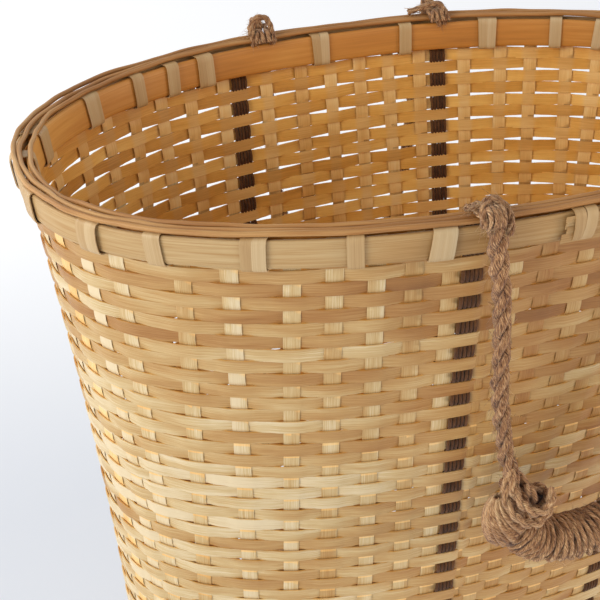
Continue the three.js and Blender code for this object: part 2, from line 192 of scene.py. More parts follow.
def splitBamboo(name, look):
    # Flat or round splits of bamboo: long straight fibres, slow changes of tone along a strip.
    material, tree, shader, fibre, place = fibrous(name, look, ((4.0, 0.62), (2.0, 0.5)))
    shaded = rampColour(tree, place, look["colours"])
    # inside faces get painted light: a paler, more amber ramp for the glow through the thin strips, strongest
    # where one layer lies
    if "paintedGlowTwoLayers" in look:
        paintedGlowTint = mixColours(tree, attribute(tree, "gap"), linear(look["paintedGlowTwoLayers"]), linear(look["paintedGlowOneLayer"]))
        inside = mixColours(tree, 1.0, rampColour(tree, place, look["paintedGlowColours"]), paintedGlowTint, "MULTIPLY")
        shaded = mixColours(tree, attribute(tree, "inner"), shaded, inside)
    tree.links.new(shaded, shader.inputs["Base Color"])
    tree.links.new(mapRange(tree, fibre, (0.3, 0.7), look["roughness"]), shader.inputs["Roughness"])
    return material


def twistedJute(name, look):
    # Spun jute: coarse dull fibres lying at a slant round the yarn; the fibre noise lightens the raised tips and
    # darkens the hollows, painted highlight and painted shade over the fibres' own colour.
    material, tree, shader, fibre, place = fibrous(name, look, ((5.0, 0.7), (3.0, 0.6)))
    tree.links.new(rampColour(tree, place, look["colours"]), shader.inputs["Base Color"])
    shader.inputs["Roughness"].default_value = look["roughness"]
    shader.inputs["Sheen Weight"].default_value = look["sheen"]
    return material


# Looks: length and width of the noise in millimetres and its share of the ramp, for the fibres and the slower
# patches; relief as strength and depth.
# split bamboo culm, dried and woven: satin straw, some strips greener or browner
# the inside ramp and its two tints are painted light: the glow of light shining through the strips
weaveBamboo = splitBamboo("weaveBamboo", {
    "fibre": (26, 0.4, 0.8), "patch": (90, 14, 0.8), "roughness": (0.36, 0.56), "relief": (0.45, 0.2),
    "specular": 0.55, "paintedGlowTwoLayers": "#FAEBD0", "paintedGlowOneLayer": "#FFE7AC",
    "paintedGlowColours": [(0.0, "#FFF2CE"), (0.3, "#F8D99E"), (0.6, "#E2B670"), (1.0, "#B88848")],
    "colours": [(0.0, "#E4D0A9"), (0.14, "#D4B985"), (0.32, "#C2995D"), (0.6, "#A87438"), (1.0, "#7B4C1E")]})
# thick split of the culm's outer wall: paler, with long open grain
hoopBamboo = splitBamboo("hoopBamboo", {
    "fibre": (60, 0.5, 0.95), "patch": (120, 9, 0.45), "roughness": (0.4, 0.6), "relief": (0.5, 0.3),
    "specular": 0.45, "colours": [(0.0, "#D0B585"), (0.35, "#B8915B"), (0.7, "#9B6F3A"), (1.0, "#704620")]})
# the same split turned inwards, darker and more orange than the outer hoop
innerBamboo = splitBamboo("innerBamboo", {
    "fibre": (70, 0.9, 0.6), "patch": (140, 10, 0.4), "roughness": (0.38, 0.55), "relief": (0.4, 0.25),
    "specular": 0.45, "colours": [(0.0, "#E6AC5A"), (0.4, "#C88538"), (0.75, "#A56829"), (1.0, "#6F4319")]})
# thin round splints, scraped and darker than the hoops
rodBamboo = splitBamboo("rodBamboo", {
    "fibre": (45, 0.5, 0.95), "patch": (60, 8, 0.6), "roughness": (0.4, 0.6), "relief": (0.5, 0.25),
    "specular": 0.4, "colours": [(0.0, "#D3A76B"), (0.4, "#AF7B44"), (0.75, "#85562B"), (1.0, "#503117")]})
# thin flat skin strips, bent wet round the rim: the palest and smoothest
lashingBamboo = splitBamboo("lashingBamboo", {
    "fibre": (30, 0.6, 0.55), "patch": (40, 7, 0.4), "roughness": (0.36, 0.55), "relief": (0.4, 0.2),
    "specular": 0.5, "colours": [(0.0, "#D8C096"), (0.4, "#BF9D6C"), (0.75, "#A27A48"), (1.0, "#7C552B")]})
# spun jute rope: grey-brown, dull and hairy
ropeJute = twistedJute("ropeJute", {
    "fibre": (4.0, 0.5, 3.0), "patch": (4.0, 4.0, 0.9), "slant": 32, "roughness": 0.93, "relief": (1.0, 0.9),
    "specular": 0.15, "sheen": 0.25,
    "colours": [(0.0, "#45281A"), (0.3, "#8E603D"), (0.65, "#CB9B6C"), (1.0, "#F6D5A4")]})
# jute yarn in the wall, the same as the rope's, painted much darker: painted shade, as it lies in and under the
# weave
strapJutePaintedShade = twistedJute("strapJutePaintedShade", {
    "fibre": (5.0, 0.4, 1.4), "patch": (7.0, 7.0, 0.7), "slant": 24, "roughness": 0.95, "relief": (1.0, 0.4),
    "specular": 0.15, "sheen": 0.15,
    "colours": [(0.0, "#381F10"), (0.4, "#644023"), (0.7, "#8C6139"), (1.0, "#BA9160")]})
print("materials made")


# Mesh making

uvStep = (171.3, 37.9)         # sets each strip of a piece on its own part of the noise
stripEdge = 0.9                # edges of flat strips bend by more than this and stay sharp
smoothAllOver = 3              # past any bend of a round piece
# painted light and shade: where the bamboo is painted palest outside and brownest inside, in degrees round the
# basket, and how fast it fades
paintedSideLight = {"outside": (188, 4), "inside": (160, 2)}


def stripGrid(count, along, across, place, sizes, tones, closed, glowGapAt=None):
    # Several strips from one grid: the bridges between strips are cut out, then each point is placed.
    bm = bmesh.new()
    uvLayer = bm.loops.layers.uv.new("UVMap")
    toneLayer = bm.verts.layers.float.new("tone")
    glowGapLayer = bm.verts.layers.float.new("gap")
    columns = count * (along + 1) - 1
    bmesh.ops.create_grid(bm, x_segments=columns, y_segments=across, size=0.5)
    where = {}
    for vert in bm.verts:
        column = round((vert.co.x + 0.5) * columns)
        where[vert] = (*divmod(column, along + 1), round((vert.co.y + 0.5) * across))
    bridges = [face for face in bm.faces if len({where[vert][0] for vert in face.verts}) > 1]
    if bridges:
        bmesh.ops.delete(bm, geom=bridges, context="FACES")
    for face in bm.faces:
        face.smooth = True
        for loop in face.loops:
            strip, i, j = where[loop.vert]
            length, width = sizes[strip]
            loop[uvLayer].uv = (length * i / along + strip * uvStep[0], width * j / across + strip * uvStep[1])
    for vert, (strip, i, j) in where.items():
        vert.co = place(strip, i / along, j / across)
        tone = tones[strip]
        vert[toneLayer] = tone(i / along) if callable(tone) else tone
        # the mask for the painted glow between stakes
        if glowGapAt:
            vert[glowGapLayer] = glowGapAt(strip, i / along)
    if closed:
        bmesh.ops.remove_doubles(bm, verts=bm.verts, dist=1e-7)
    return bm


def markInsideForPaintedLight(bm):
    # 1 on faces turned to the inside of the basket, where the light that comes through the weave is painted into
    # the colour.
    paintedInsideLayer = bm.verts.layers.float.new("inner")
    bm.normal_update()
    for vert in bm.verts:
        if vert.normal.x * vert.co.x + vert.normal.y * vert.co.y < 0:
            vert[paintedInsideLayer] = 1.0


def paintSideLightAndShade(bm, pale, brown):
    # painted light on outside faces, paler at the left end towards the key light, and painted shade on inside
    # faces, browner where that light does not reach
    toneLayer = bm.verts.layers.float["tone"]
    paintedInsideLayer = bm.verts.layers.float.get("inner")
    for vert in bm.verts:
        isInner = paintedInsideLayer and vert[paintedInsideLayer] > 0.5
        degrees, power = paintedSideLight["inside" if isInner else "outside"]
        facing = cos(atan2(vert.co.y, vert.co.x) - radians(degrees))
        vert[toneLayer] += (brown if isInner else -pale) * max(facing, 0) ** power


def meshObject(bm, name, material):
    mesh = bpy.data.meshes.new(name)
    bm.to_mesh(mesh)
    bm.free()
    mesh.materials.append(material)
    return toScene(name, mesh)


def finishPiece(bm, name, material, body, nodes=(), sharpAngle=stripEdge):
    for edge in bm.edges:
        if len(edge.link_faces) == 2 and edge.calc_face_angle(0) > sharpAngle:
            edge.smooth = False
    piece = meshObject(bm, name, material)
    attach(piece, body)
    if nodes:
        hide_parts(*nodes)
    print(name, len(piece.data.polygons), "faces")
    return piece


def jutePiece(bm, name, body, nodes=()):
    return finishPiece(bm, name, ropeJute, body, nodes, smoothAllOver)


def bambooPiece(bm, name, material, slotName, nodes=(), thickness=0, pale=0, brown=0):
    # Flat strips are thickened first; splits with a thickness of their own are round all over.
    if thickness:
        bmesh.ops.solidify(bm, geom=bm.faces[:], thickness=thickness * mm)
    bmesh.ops.recalc_face_normals(bm, faces=bm.faces[:])
    # pale and brown give the sides painted light outside and painted shade inside
    if brown:
        markInsideForPaintedLight(bm)
    if pale:
        paintSideLightAndShade(bm, pale, brown)
    finishPiece(bm, name, material, "basket", nodes, stripEdge if thickness else smoothAllOver)


def curveThrough(points, count, fineSteps=24):
    # A smooth line through the points, resampled to even steps.
    points = [Vector(p) for p in points]
    ends = [points[0] * 2 - points[1]] + points + [points[-1] * 2 - points[-2]]
    fine = []
    for i in range(1, len(ends) - 2):
        a, b, c, d = ends[i - 1:i + 3]
        for step in range(fineSteps):
            t = step / fineSteps
            fine.append(0.5 * (2 * b + (c - a) * t + (2 * a - 5 * b + 4 * c - d) * t * t
                               + (3 * b - a - 3 * c + d) * t * t * t))
    fine.append(points[-1].copy())
    reach = [0.0]
    for a, b in zip(fine, fine[1:]):
        reach.append(reach[-1] + (b - a).length)
    line = []
    for i in range(count):
        goal = reach[-1] * i / (count - 1)
        k = min(max(bisect_right(reach, goal) - 1, 0), len(fine) - 2)
        t = (goal - reach[k]) / max(reach[k + 1] - reach[k], 1e-9)
        line.append(fine[k].lerp(fine[k + 1], t))
    return line


def lineLength(line):
    return sum((b - a).length for a, b in zip(line, line[1:]))


def framesOf(line):
    # Two directions square to the line at each point, turning as little as they can.
    frames = []
    along = (line[1] - line[0]).normalized()
    side = along.orthogonal().normalized()
    for i, point in enumerate(line):
        along = (line[min(i + 1, len(line) - 1)] - line[max(i - 1, 0)]).normalized()
        side = (side - along * side.dot(along)).normalized()
        frames.append((side, along.cross(side)))
    return frames


def tubes(lines, radiusAt, sides, tones):
    # Closed tubes of one length of line each; radiusAt takes the line's number and the share along it.
    frames = [framesOf(line) for line in lines]
    steps = len(lines[0]) - 1
    sizes = [(lineLength(line) / mm, fullTurn * radiusAt(k, 0.5) / mm) for k, line in enumerate(lines)]

    def place(k, u, v):
        i = round(u * steps)
        return lines[k][i] + around(*frames[k][i], v * fullTurn) * radiusAt(k, u)

    bm = stripGrid(len(lines), steps, sides, place, sizes, tones, True)
    bmesh.ops.holes_fill(bm, edges=[edge for edge in bm.edges if edge.is_boundary], sides=sides)
    bmesh.ops.recalc_face_normals(bm, faces=bm.faces[:])
    return bm


def lumpy(radius, share, rate, seed):
    # A radius in millimetres that swells and narrows along each line, for tubes.
    return lambda k, u: radius * mm * (1 + share * ripple(u * rate, k * 3.3, seed))


def strandLines(line, strands, reach, pitch, phase=0.0, hand=1):
    # Strands laid round a centre line, as in twisted rope.
    frames = framesOf(line)
    lines = []
    for k in range(strands):
        travelled = 0.0
        strand = []
        for i, point in enumerate(line):
            if i:
                travelled += (point - line[i - 1]).length
            angle = hand * travelled / pitch * fullTurn + fullTurn * k / strands + phase
            strand.append(point + around(*frames[i], angle) * reach)
        lines.append(strand)
    return lines


# The basket's shape

basket = {
    "height": 370, "halfLength": 240, "halfWidth": 145, "endInset": 38, "sideInset": 42,
    "ovalPower": 2.22, "taperPower": 1.5, "rimSaddle": 2.4,
}


def basketPoint(turn, depth, out):
    # A point at a share of a turn, a depth below the rim and a distance out from the rim's outer face.
    angle = turn * fullTurn
    high = 1 - depth / basket["height"]
    taper = 1 - high ** basket["taperPower"] if high > 0 else 1
    halfLength = basket["halfLength"] - basket["endInset"] * taper + out
    halfWidth = basket["halfWidth"] - basket["sideInset"] * taper + out
    lift = -basket["rimSaddle"] * cos(2 * angle) * high
    return Vector((
        halfLength * signedPower(cos(angle), 2 / basket["ovalPower"]),
        halfWidth * signedPower(sin(angle), 2 / basket["ovalPower"]),
        basket["height"] - depth + lift,
    )) * mm


def turnSpeed(turn, depth):
    # Millimetres round the wall for a full turn's worth of share at this place.
    step = 0.002
    return (basketPoint(turn + step, depth, 0) - basketPoint(turn - step, depth, 0)).length / (2 * step) / mm


rimSteps = 720
rimPoints = [basketPoint(i / rimSteps, 0, 0) for i in range(rimSteps + 1)]
rimTable = [0.0]
for a, b in zip(rimPoints, rimPoints[1:]):
    rimTable.append(rimTable[-1] + (b - a).length / mm)


def rimLength(turn):
    # Millimetres round the rim from the right end.
    laps, share = divmod(turn, 1.0)
    k = min(int(share * rimSteps), rimSteps - 1)
    return laps * rimTable[-1] + rimTable[k] + (rimTable[k + 1] - rimTable[k]) * (share * rimSteps - k)


def turnAt(length):
    laps, rest = divmod(length, rimTable[-1])
    k = min(bisect_right(rimTable, rest), rimSteps) - 1
    return laps + (k + (rest - rimTable[k]) / (rimTable[k + 1] - rimTable[k])) / rimSteps


def evenTurns(count):
    # Shares of a turn at even steps round the rim; the last is the first again.
    turns = [turnAt(rimTable[-1] * i / count) for i in range(count)]
    return turns + turns[:1]


# Wall: stakes, straps and courses

wall = {
    "middle": -5.2,            # out, at the middle of the woven wall
    "firstCourse": 6.45, "coursePitch": 7.85, "courses": 46,
    "weaverWidth": 7.5, "looseWidth": 0.25, "weaverThickness": 0.75, "weaverLift": 0.8, "crown": 0.14,
    "pairing": 0.15, "loosePairing": 0.33, "edgeShare": 0.05, "strapMargin": 0.9,
    "stakeWidth": 8.7, "stakeThickness": 0.9, "stakeLift": 0.4, "stakeStart": 1.2, "tuckedWidth": 0.96,
    "samplesRound": 480, "samplesPerCourse": 4,
    "footDepth": 361.5, "footBend": 7, "footTuck": 24, "footAim": 0.35,
    "seed": 41, "courseTones": (0.1, 0.2, 0.28, 0.35, 0.42, 0.5, 0.6), "stakeTones": (0.2, 0.5),
    # sides: painted light outside and painted shade inside, as shares of the ramp
    "toneSpread": 0.52, "toneStart": 0.38, "paintedFootLight": 0.3, "sides": (0.22, 0.1),
    # share of a turn at the rim and at the foot, from the right end anticlockwise
    "backStakes": [
        (0.149, 0.13), (0.1683, 0.155), (0.1838, 0.172), (0.2022, 0.189), (0.2232, 0.2125), (0.2372, 0.225),
        (0.2478, 0.243), (0.2581, 0.255), (0.27, 0.2725), (0.286, 0.2905), (0.3065, 0.3185), (0.3242, 0.3345),
        (0.3407, 0.352), (0.3577, 0.372), (0.376, 0.394), (0.3975, 0.412), (0.427, 0.434)],
    "frontStakes": [
        (0.5782, 0.5689), (0.6131, 0.59), (0.6326, 0.625), (0.6574, 0.646), (0.6726, 0.667), (0.6871, 0.6874),
        (0.6995, 0.7065), (0.712, 0.719), (0.7245, 0.7305), (0.7331, 0.739), (0.7438, 0.747), (0.7545, 0.7555),
        (0.7655, 0.7645), (0.7775, 0.7745), (0.796, 0.79)],
    "leftGap": 6,              # stakes in the unseen stretches
    "rightGap": 16,
}
# strap name: share at the rim and the foot, and the share of the stake that it lies beside
straps = {
    "front_left": (0.7188, 0.7275, 0.712), "front_right": (0.8032, 0.7972, 0.796),
    "back_right": (0.2148, 0.2045, 0.2232), "back_left": (0.2987, 0.3105, 0.3065),
}
strapYarn = {
    "width": 11, "yarns": 5, "diameter": 2.1, "lift": 1.15, "top": 2, "foot": 354, "sides": 7,
    "samplesPerCourse": 6,
}


def evenStakes(start, end, count):
    first, last = rimLength(start), rimLength(end)
    turns = []
    for i in range(count):
        turn = turnAt(first + (last - first) * (i + 1) / (count + 1))
        turns.append((turn, turn))
    return turns


stakes = list(wall["backStakes"])
stakes += evenStakes(wall["backStakes"][-1][0], wall["frontStakes"][0][0], wall["leftGap"])
stakes += wall["frontStakes"]
stakes += evenStakes(wall["frontStakes"][-1][0], 1 + wall["backStakes"][0][0], wall["rightGap"])
print("stakes:", len(stakes))


def stakeTurn(stake, depth):
    return stake[0] + (stake[1] - stake[0]) * depth / basket["height"]


def crossing(entry, course):
    # 1 where the weaver of that course passes outside the stake, -1 inside.
    return 1 if (entry + course) % 2 == 0 else -1


def rowWave(entry, depth):
    # 1 where a weaver passes outside the stake, -1 where one passes inside, and between them in between.
    row = (depth - wall["firstCourse"]) / wall["coursePitch"]
    course = floor(row)
    return crossing(entry, course) * cos(pi * (row - course))


def stakeSpans(depth):
    # Where each stake, with any strap beside it, begins and ends at this depth.
    spans = []
    strapped = set()
    for stake in stakes:
        turn = stakeTurn(stake, depth)
        half = wall["stakeWidth"] / 2 / turnSpeed(turn, depth)
        low, high = turn - half, turn + half
        for top, foot, beside in straps.values():
            if abs(beside - stake[0]) < 1e-6:
                strapTurn = stakeTurn((top, foot), depth)
                strapHalf = (strapYarn["width"] / 2 + wall["strapMargin"]) / turnSpeed(strapTurn, depth)
                low, high = min(low, strapTurn - strapHalf), max(high, strapTurn + strapHalf)
                strapped.add(len(spans))
        spans.append((low, high))
    for k in strapped:
        clear = wall["strapMargin"] / turnSpeed(spans[k][0], depth)
        before, after = spans[k - 1], spans[k + 1]
        spans[k - 1] = (before[0], min(before[1], spans[k][0] - clear))
        spans[k + 1] = (max(after[0], spans[k][1] + clear), after[1])
    return spans


def spanAt(spans, turn):
    # The number of the stake at or before this turn, and the turn counted on from the first stake.
    turn = spans[0][0] + (turn - spans[0][0]) % 1.0
    return bisect_right([low for low, high in spans], turn) - 1, turn


def flatSpan(spans, k):
    # Where a course lies flat over a stake; stakes before the first and past the last count on.
    laps, k = divmod(k, len(spans))
    low, high = spans[k]
    ease = (high - low) * wall["edgeShare"]
    return low + ease + laps, high - ease + laps


def weaverLift(spans, course, turn):
    # The course's place between inside and outside: flat over each stake, crossing in the gaps.
    k, turn = spanAt(spans, turn)
    low, high = flatSpan(spans, k)
    if low <= turn <= high:
        return crossing(k, course)
    if turn < low:
        k -= 1
    start, end = flatSpan(spans, k)[1], flatSpan(spans, k + 1)[0]
    sign, nextSign = crossing(k, course), crossing(k + 1, course)
    return sign + (nextSign - sign) * crossOver((turn - start) / (end - start))


def looseness(turn):
    # The weave is beaten down tight along the front and looser along the back.
    return smooth(0.5 + 0.62 * sin(fullTurn * turn))


def courseDepth(course, turn):
    # Courses lie in pairs, so that every other slit is wide, and how closely they pair changes along the wall.
    reach = wall["pairing"] + wall["loosePairing"] * looseness(turn)
    pairing = (1 if course % 2 else -1) * reach * (0.8 + 0.7 * drift(turn, floor(course / 2) * 0.9, 6.0))
    return (wall["firstCourse"] + wall["coursePitch"] * course + 0.4 * drift(turn, course * 0.37 + 1, 3.0)
            - pairing)


def courseWidth(course, turn):
    return (wall["weaverWidth"] - wall["looseWidth"] * looseness(turn)
            + 0.3 * drift(turn, course * 0.61 + 5, 5.0) + 0.15 * drift(turn, course + 9.5, 1.0))


toneDice = random.Random(wall["seed"])
courseTones = [toneDice.choice(wall["courseTones"]) + toneDice.uniform(-0.05, 0.05)
               for course in range(wall["courses"])]
stakeTones = [toneDice.uniform(*wall["stakeTones"]) for stake in stakes]


def coursesPiece(name, first, last):
    numbers = range(first, last)
    spanTables = [stakeSpans(wall["firstCourse"] + wall["coursePitch"] * course) for course in numbers]
    samples = wall["samplesRound"]
    turns = evenTurns(samples)

    def place(k, u, v):
        course = numbers[k]
        turn = turns[round(u * samples)]
        lift = weaverLift(spanTables[k], course, turn)
        depth = courseDepth(course, turn) + (v - 0.5) * courseWidth(course, turn)
        out = wall["middle"] + wall["weaverLift"] * lift + wall["crown"] * crownAt(v) * lift
        return basketPoint(turn, depth, out)

    def toneOf(course):
        # painted light: the courses are painted paler towards the foot and browner towards the rim
        fall = wall["paintedFootLight"] * course / wall["courses"]
        base = wall["toneSpread"] * courseTones[course] + wall["toneStart"] - fall
        return lambda u: base + 0.22 * drift(u, course * 1.3 + 2, 1.5) + 0.1 * drift(u, course * 2.1 + 9, 5.0)

    def glowGapAt(k, u):
        # 1 between stakes, where one layer lets the light through and the painted glow is strongest, 0 over a
        # stake
        entry, turn = spanAt(spanTables[k], turns[round(u * samples)])
        return float(turn > spanTables[k][entry][1])

    sizes = [(rimTable[-1] * 0.9, wall["weaverWidth"])] * len(numbers)
    bm = stripGrid(len(numbers), samples, 2, place, sizes, [toneOf(course) for course in numbers], True, glowGapAt)
    bambooPiece(bm, name, weaveBamboo, "woven_bamboo", ["wall_weave"], wall["weaverThickness"], *wall["sides"])


def wallPath(turnOf, liftOf, length):
    # A point on the wall at a length down from the rim; below the foot it turns in under the base.
    foot, bend = wall["footDepth"], wall["footBend"]
    if length <= foot:
        return basketPoint(turnOf(length), length, wall["middle"] + liftOf(length))
    turn = turnOf(foot)
    angle = min((length - foot) / bend, pi / 2)
    tuck = max(length - foot - bend * pi / 2, 0)
    inward = bend * (1 - cos(angle)) + tuck
    edge = basketPoint(turn, foot, wall["middle"])
    direction = Vector((edge.x * (wall["footAim"] - 1), -edge.y, 0)).normalized()
    return edge + direction * inward * mm - Vector((0, 0, bend * sin(angle) * mm))


def stakesPiece():
    length = wall["footDepth"] + wall["footBend"] * pi / 2 + wall["footTuck"]
    steps = round(length / wall["coursePitch"] * wall["samplesPerCourse"])

    def place(k, u, v):
        down = wall["stakeStart"] + (length - wall["stakeStart"]) * u
        stake = stakes[k]
        width = wall["stakeWidth"] + 0.5 * ripple(k * 3.1, down * 0.01, 4)
        if down > wall["footDepth"]:
            width *= wall["tuckedWidth"]
        depth = min(down, wall["footDepth"])
        shift = (v - 0.5) * width / turnSpeed(stakeTurn(stake, depth), depth)
        bow = wall["crown"] * crownAt(v)
        return wallPath(
            lambda reach: stakeTurn(stake, reach) + shift,
            lambda reach: -wall["stakeLift"] * rowWave(k, reach) + bow, down)

    sizes = [(length, wall["stakeWidth"])] * len(stakes)
    bm = stripGrid(len(stakes), steps, 2, place, sizes, stakeTones, False)
    bambooPiece(
        bm, "wallStakes", weaveBamboo, "woven_bamboo", ["wall_weave"], wall["stakeThickness"], *wall["sides"])


half = wall["courses"] // 2
coursesPiece("wallCoursesUpper", 0, half)
coursesPiece("wallCoursesLower", half, wall["courses"])
stakesPiece()


def strapPiece(name, top, foot, beside):
    entry = next(i for i, stake in enumerate(stakes) if abs(stake[0] - beside) < 1e-6)
    reach = strapYarn["foot"] - strapYarn["top"]
    steps = round(reach / wall["coursePitch"] * strapYarn["samplesPerCourse"])
    yarns, diameter = strapYarn["yarns"], strapYarn["diameter"]
    pitch = (strapYarn["width"] - diameter) / (yarns - 1)
    lines = []
    for k in range(yarns):
        line = []
        for i in range(steps + 1):
            depth = strapYarn["top"] + reach * i / steps
            lift = -strapYarn["lift"] * signedPower(rowWave(entry, depth), 0.7)
            out = wall["middle"] + lift + 0.12 * ripple(k * 2.7, depth * 0.2, 1)
            turn = stakeTurn((top, foot), depth)
            across = (k - (yarns - 1) / 2) * pitch + 0.3 * ripple(k * 5.1, depth * 0.12, 7)
            line.append(basketPoint(turn + across / turnSpeed(turn, depth), depth, out))
        lines.append(line)
    bm = tubes(
        lines, lambda k, u: diameter / 2 * mm * (1 + 0.1 * ripple(k * 9.1, u * 90, 3)), strapYarn["sides"],
        [0.3 + 0.25 * ripple(k * 1.7, 2, len(name)) for k in range(yarns)])
    finishPiece(bm, "strap_" + name, strapJutePaintedShade, "basket", ["wall_strap_" + name])


for name, (top, foot, beside) in straps.items():
    strapPiece(name, top, foot, beside)


# Base mat

baseMat = {
    "pitch": 15.2, "width": 13.8, "thickness": 0.8, "lift": 0.5, "level": 2.35, "edge": -5.1, "samples": 104,
    "seed": 8, "tones": (0.3, 0.7),
}


def basePiece():
    pitch, width, power = baseMat["pitch"], baseMat["width"], basket["ovalPower"]
    halves = (basket["halfLength"] - basket["endInset"] + baseMat["edge"],
              basket["halfWidth"] - basket["sideInset"] + baseMat["edge"])
    counts = [int(2 * half / pitch) for half in halves]
    # direction 0 runs along the mat, 1 across it
    strips = [(way, (i - (counts[1 - way] - 1) / 2) * pitch, i) for way in (0, 1) for i in range(counts[1 - way])]

    def place(k, u, v):
        way, middle, number = strips[k]
        across = middle + (v - 0.5) * width
        share = min(abs(across) / halves[1 - way], 0.999)
        along = (2 * u - 1) * halves[way] * (1 - share ** power) ** (1 / power)
        row = along / pitch + (counts[way] - 1) / 2
        cell = floor(row)
        sign = 1 if (number + cell + way) % 2 == 0 else -1
        z = baseMat["level"] + sign * cos(pi * (row - cell)) * baseMat["lift"]
        return Vector((across, along, z) if way else (along, across, z)) * mm

    dice = random.Random(baseMat["seed"])
    bm = stripGrid(
        len(strips), baseMat["samples"], 2, place, [(2 * halves[way], width) for way, middle, number in strips],
        [dice.uniform(*baseMat["tones"]) for strip in strips], False)
    bambooPiece(bm, "baseWeave", weaveBamboo, "woven_bamboo", ["base_mat"], baseMat["thickness"])


basePiece()


# Rim hoops

rim = {
    # pale: painted light, the hoops paler at the left end towards the key light
    "downPower": 5, "acrossPower": 3.4, "samples": 400, "sectionPoints": 18, "pale": 0.32,
    "outer": {"height": 15.6, "faces": (0.0, -3.4), "seed": 2, "tone": 0.44},
    "inner": {"height": 17.2, "faces": (-7.0, -10.4), "seed": 5, "tone": 0.42},
}


def hoopPiece(place, material, slotName):
    hoop = rim[place]
    height, seed = hoop["height"], hoop["seed"]
    thickness = hoop["faces"][0] - hoop["faces"][1]
    turns = evenTurns(rim["samples"])

    def pointAt(k, u, v):
        turn = turns[round(u * rim["samples"])]
        down = signedPower(cos(v * fullTurn), 2 / rim["downPower"])
        across = signedPower(sin(v * fullTurn), 2 / rim["acrossPower"])
        edge = 0.35 * drift(turn, seed + (3 if down > 0 else 7), 6.0)
        out = sum(hoop["faces"]) / 2 + across * thickness / 2 + 0.3 * drift(turn, seed + 1, 4.0)
        return basketPoint(turn, height / 2 + down * height / 2 + edge, out)

    bm = stripGrid(
        1, rim["samples"], rim["sectionPoints"], pointAt, [(rimTable[-1], 2 * (height + thickness))],
        [lambda u: hoop["tone"] + 0.2 * drift(u, seed + 4, 2.2)], True)
    bambooPiece(bm, place + "Hoop", material, slotName, [place + "_rim_hoop"], pale=rim["pale"])


hoopPiece("outer", hoopBamboo, "hoop_bamboo")
hoopPiece("inner", innerBamboo, "inner_hoop_bamboo")

# the outer hoop's lapped end: splinters of uneven length over the first layer
hoopLap = {
    "start": 0.7449, "end": 0.776, "splinters": 7, "thickness": 1.3, "lift": 1.5, "clear": 0.25, "top": 1.0,
    "bottom": 14.6, "overlap": 1.02, "samples": 40, "size": 50, "tone": 0.3, "seed": 3,
}


def lapPiece():
    dice = random.Random(hoopLap["seed"])
    count, end = hoopLap["splinters"], hoopLap["end"]
    pitch = (hoopLap["bottom"] - hoopLap["top"]) / count
    starts = [hoopLap["start"] + dice.uniform(-0.0009, 0.0011) for i in range(count)]
    lifts = [dice.uniform(-0.25, 0.3) for i in range(count)]

    def place(k, u, v):
        lift = (hoopLap["lift"] + lifts[k] * (1 - u)) * smooth((1 - u) * 4)
        depth = hoopLap["top"] + pitch * (k + v * hoopLap["overlap"])
        return basketPoint(starts[k] + (end - starts[k]) * u, depth, hoopLap["clear"] + lift)

    bm = stripGrid(
        count, hoopLap["samples"], 2, place, [(hoopLap["size"], pitch)] * count,
        [hoopLap["tone"] + dice.uniform(-0.12, 0.15) for i in range(count)], False)
    bambooPiece(bm, "hoopLap", hoopBamboo, "hoop_bamboo", thickness=hoopLap["thickness"])


lapPiece()


# Rim rods

rods = {
    "diameter": 2.8, "rise": 3.1, "pitch": 3.3, "middle": -5.2, "samples": 480, "sides": 8, "tone": 0.42,
    # pale: painted light, the rods paler at the left end towards the key light
    "girth": 8.8, "pale": 0.12, "leftSpread": 0.3, "leftTurn": 0.46,
    "shifts": {"outer": 1, "middle": 0, "inner": -1},
}


def rodPiece(place, number):
    samples = rods["samples"]
    line = []
    for turn in evenTurns(samples)[:-1]:
        sway = 1.7 * drift(turn, number * 2.3 + 11, 4.0) + 0.9 * drift(turn, number * 3.1 + 17, 11.0)
        rise = rods["rise"] + 0.8 * drift(turn, number * 1.7 + 23, 7.0)
        spread = 1 + rods["leftSpread"] * max(cos(fullTurn * (turn - rods["leftTurn"])), 0) ** 4
        line.append(basketPoint(turn, -rise, rods["middle"] + number * rods["pitch"] * spread + sway * spread))

    def pointAt(k, u, v):
        i = round(u * samples) % samples
        along = (line[(i + 1) % samples] - line[i - 1]).normalized()
        side = along.cross(Vector((0, 0, 1))).normalized()
        radius = rods["diameter"] / 2 * mm * (1 + 0.1 * drift(i / samples, number + 31, 9.0))
        return line[i] + around(side, side.cross(along), v * fullTurn) * radius

    bm = stripGrid(
        1, samples, rods["sides"], pointAt, [(rimTable[-1], rods["girth"])],
        [lambda u: rods["tone"] + 0.22 * drift(u, number + 41, 3.0)], True)
    bambooPiece(bm, "rod_" + place, rodBamboo, "rod_bamboo", ["rim_rod_" + place], pale=rods["pale"])


for place, number in rods["shifts"].items():
    rodPiece(place, number)


# Rim lashings

lashing = {
    "wide": {
        "turns": (0.0, 0.062, 0.1287, 0.1907, 0.2626, 0.3178, 0.39, 0.445,
                  0.5186, 0.5702, 0.6444, 0.708, 0.7497, 0.842, 0.898, 0.952),
        "strands": (-1, 1), "spread": 2.75, "sway": 0.2,
        "width": 6.2, "widths": (-0.3, 0.3), "tones": (0.15, 0.5)},
    "narrow": {
        "turns": (0.1549, 0.2296, 0.3361, 0.3569, 0.4793, 0.604, 0.6798, 0.814, 0.869, 0.924),
        "strands": (0,), "width": 8.4, "widths": (-0.4, 0.3), "tones": (0.12, 0.45)},
    "thickness": 0.6, "gap": 0.55, "cup": 0.16, "corner": 0.3, "lean": 0.8, "bulge": 0.15, "overlap": 0.22,
    "bulged": {0.7497: 2.0, 0.5702: 1.1, 0.708: 0.5}, "length": 54, "pathPoints": 44, "seed": 12,
}


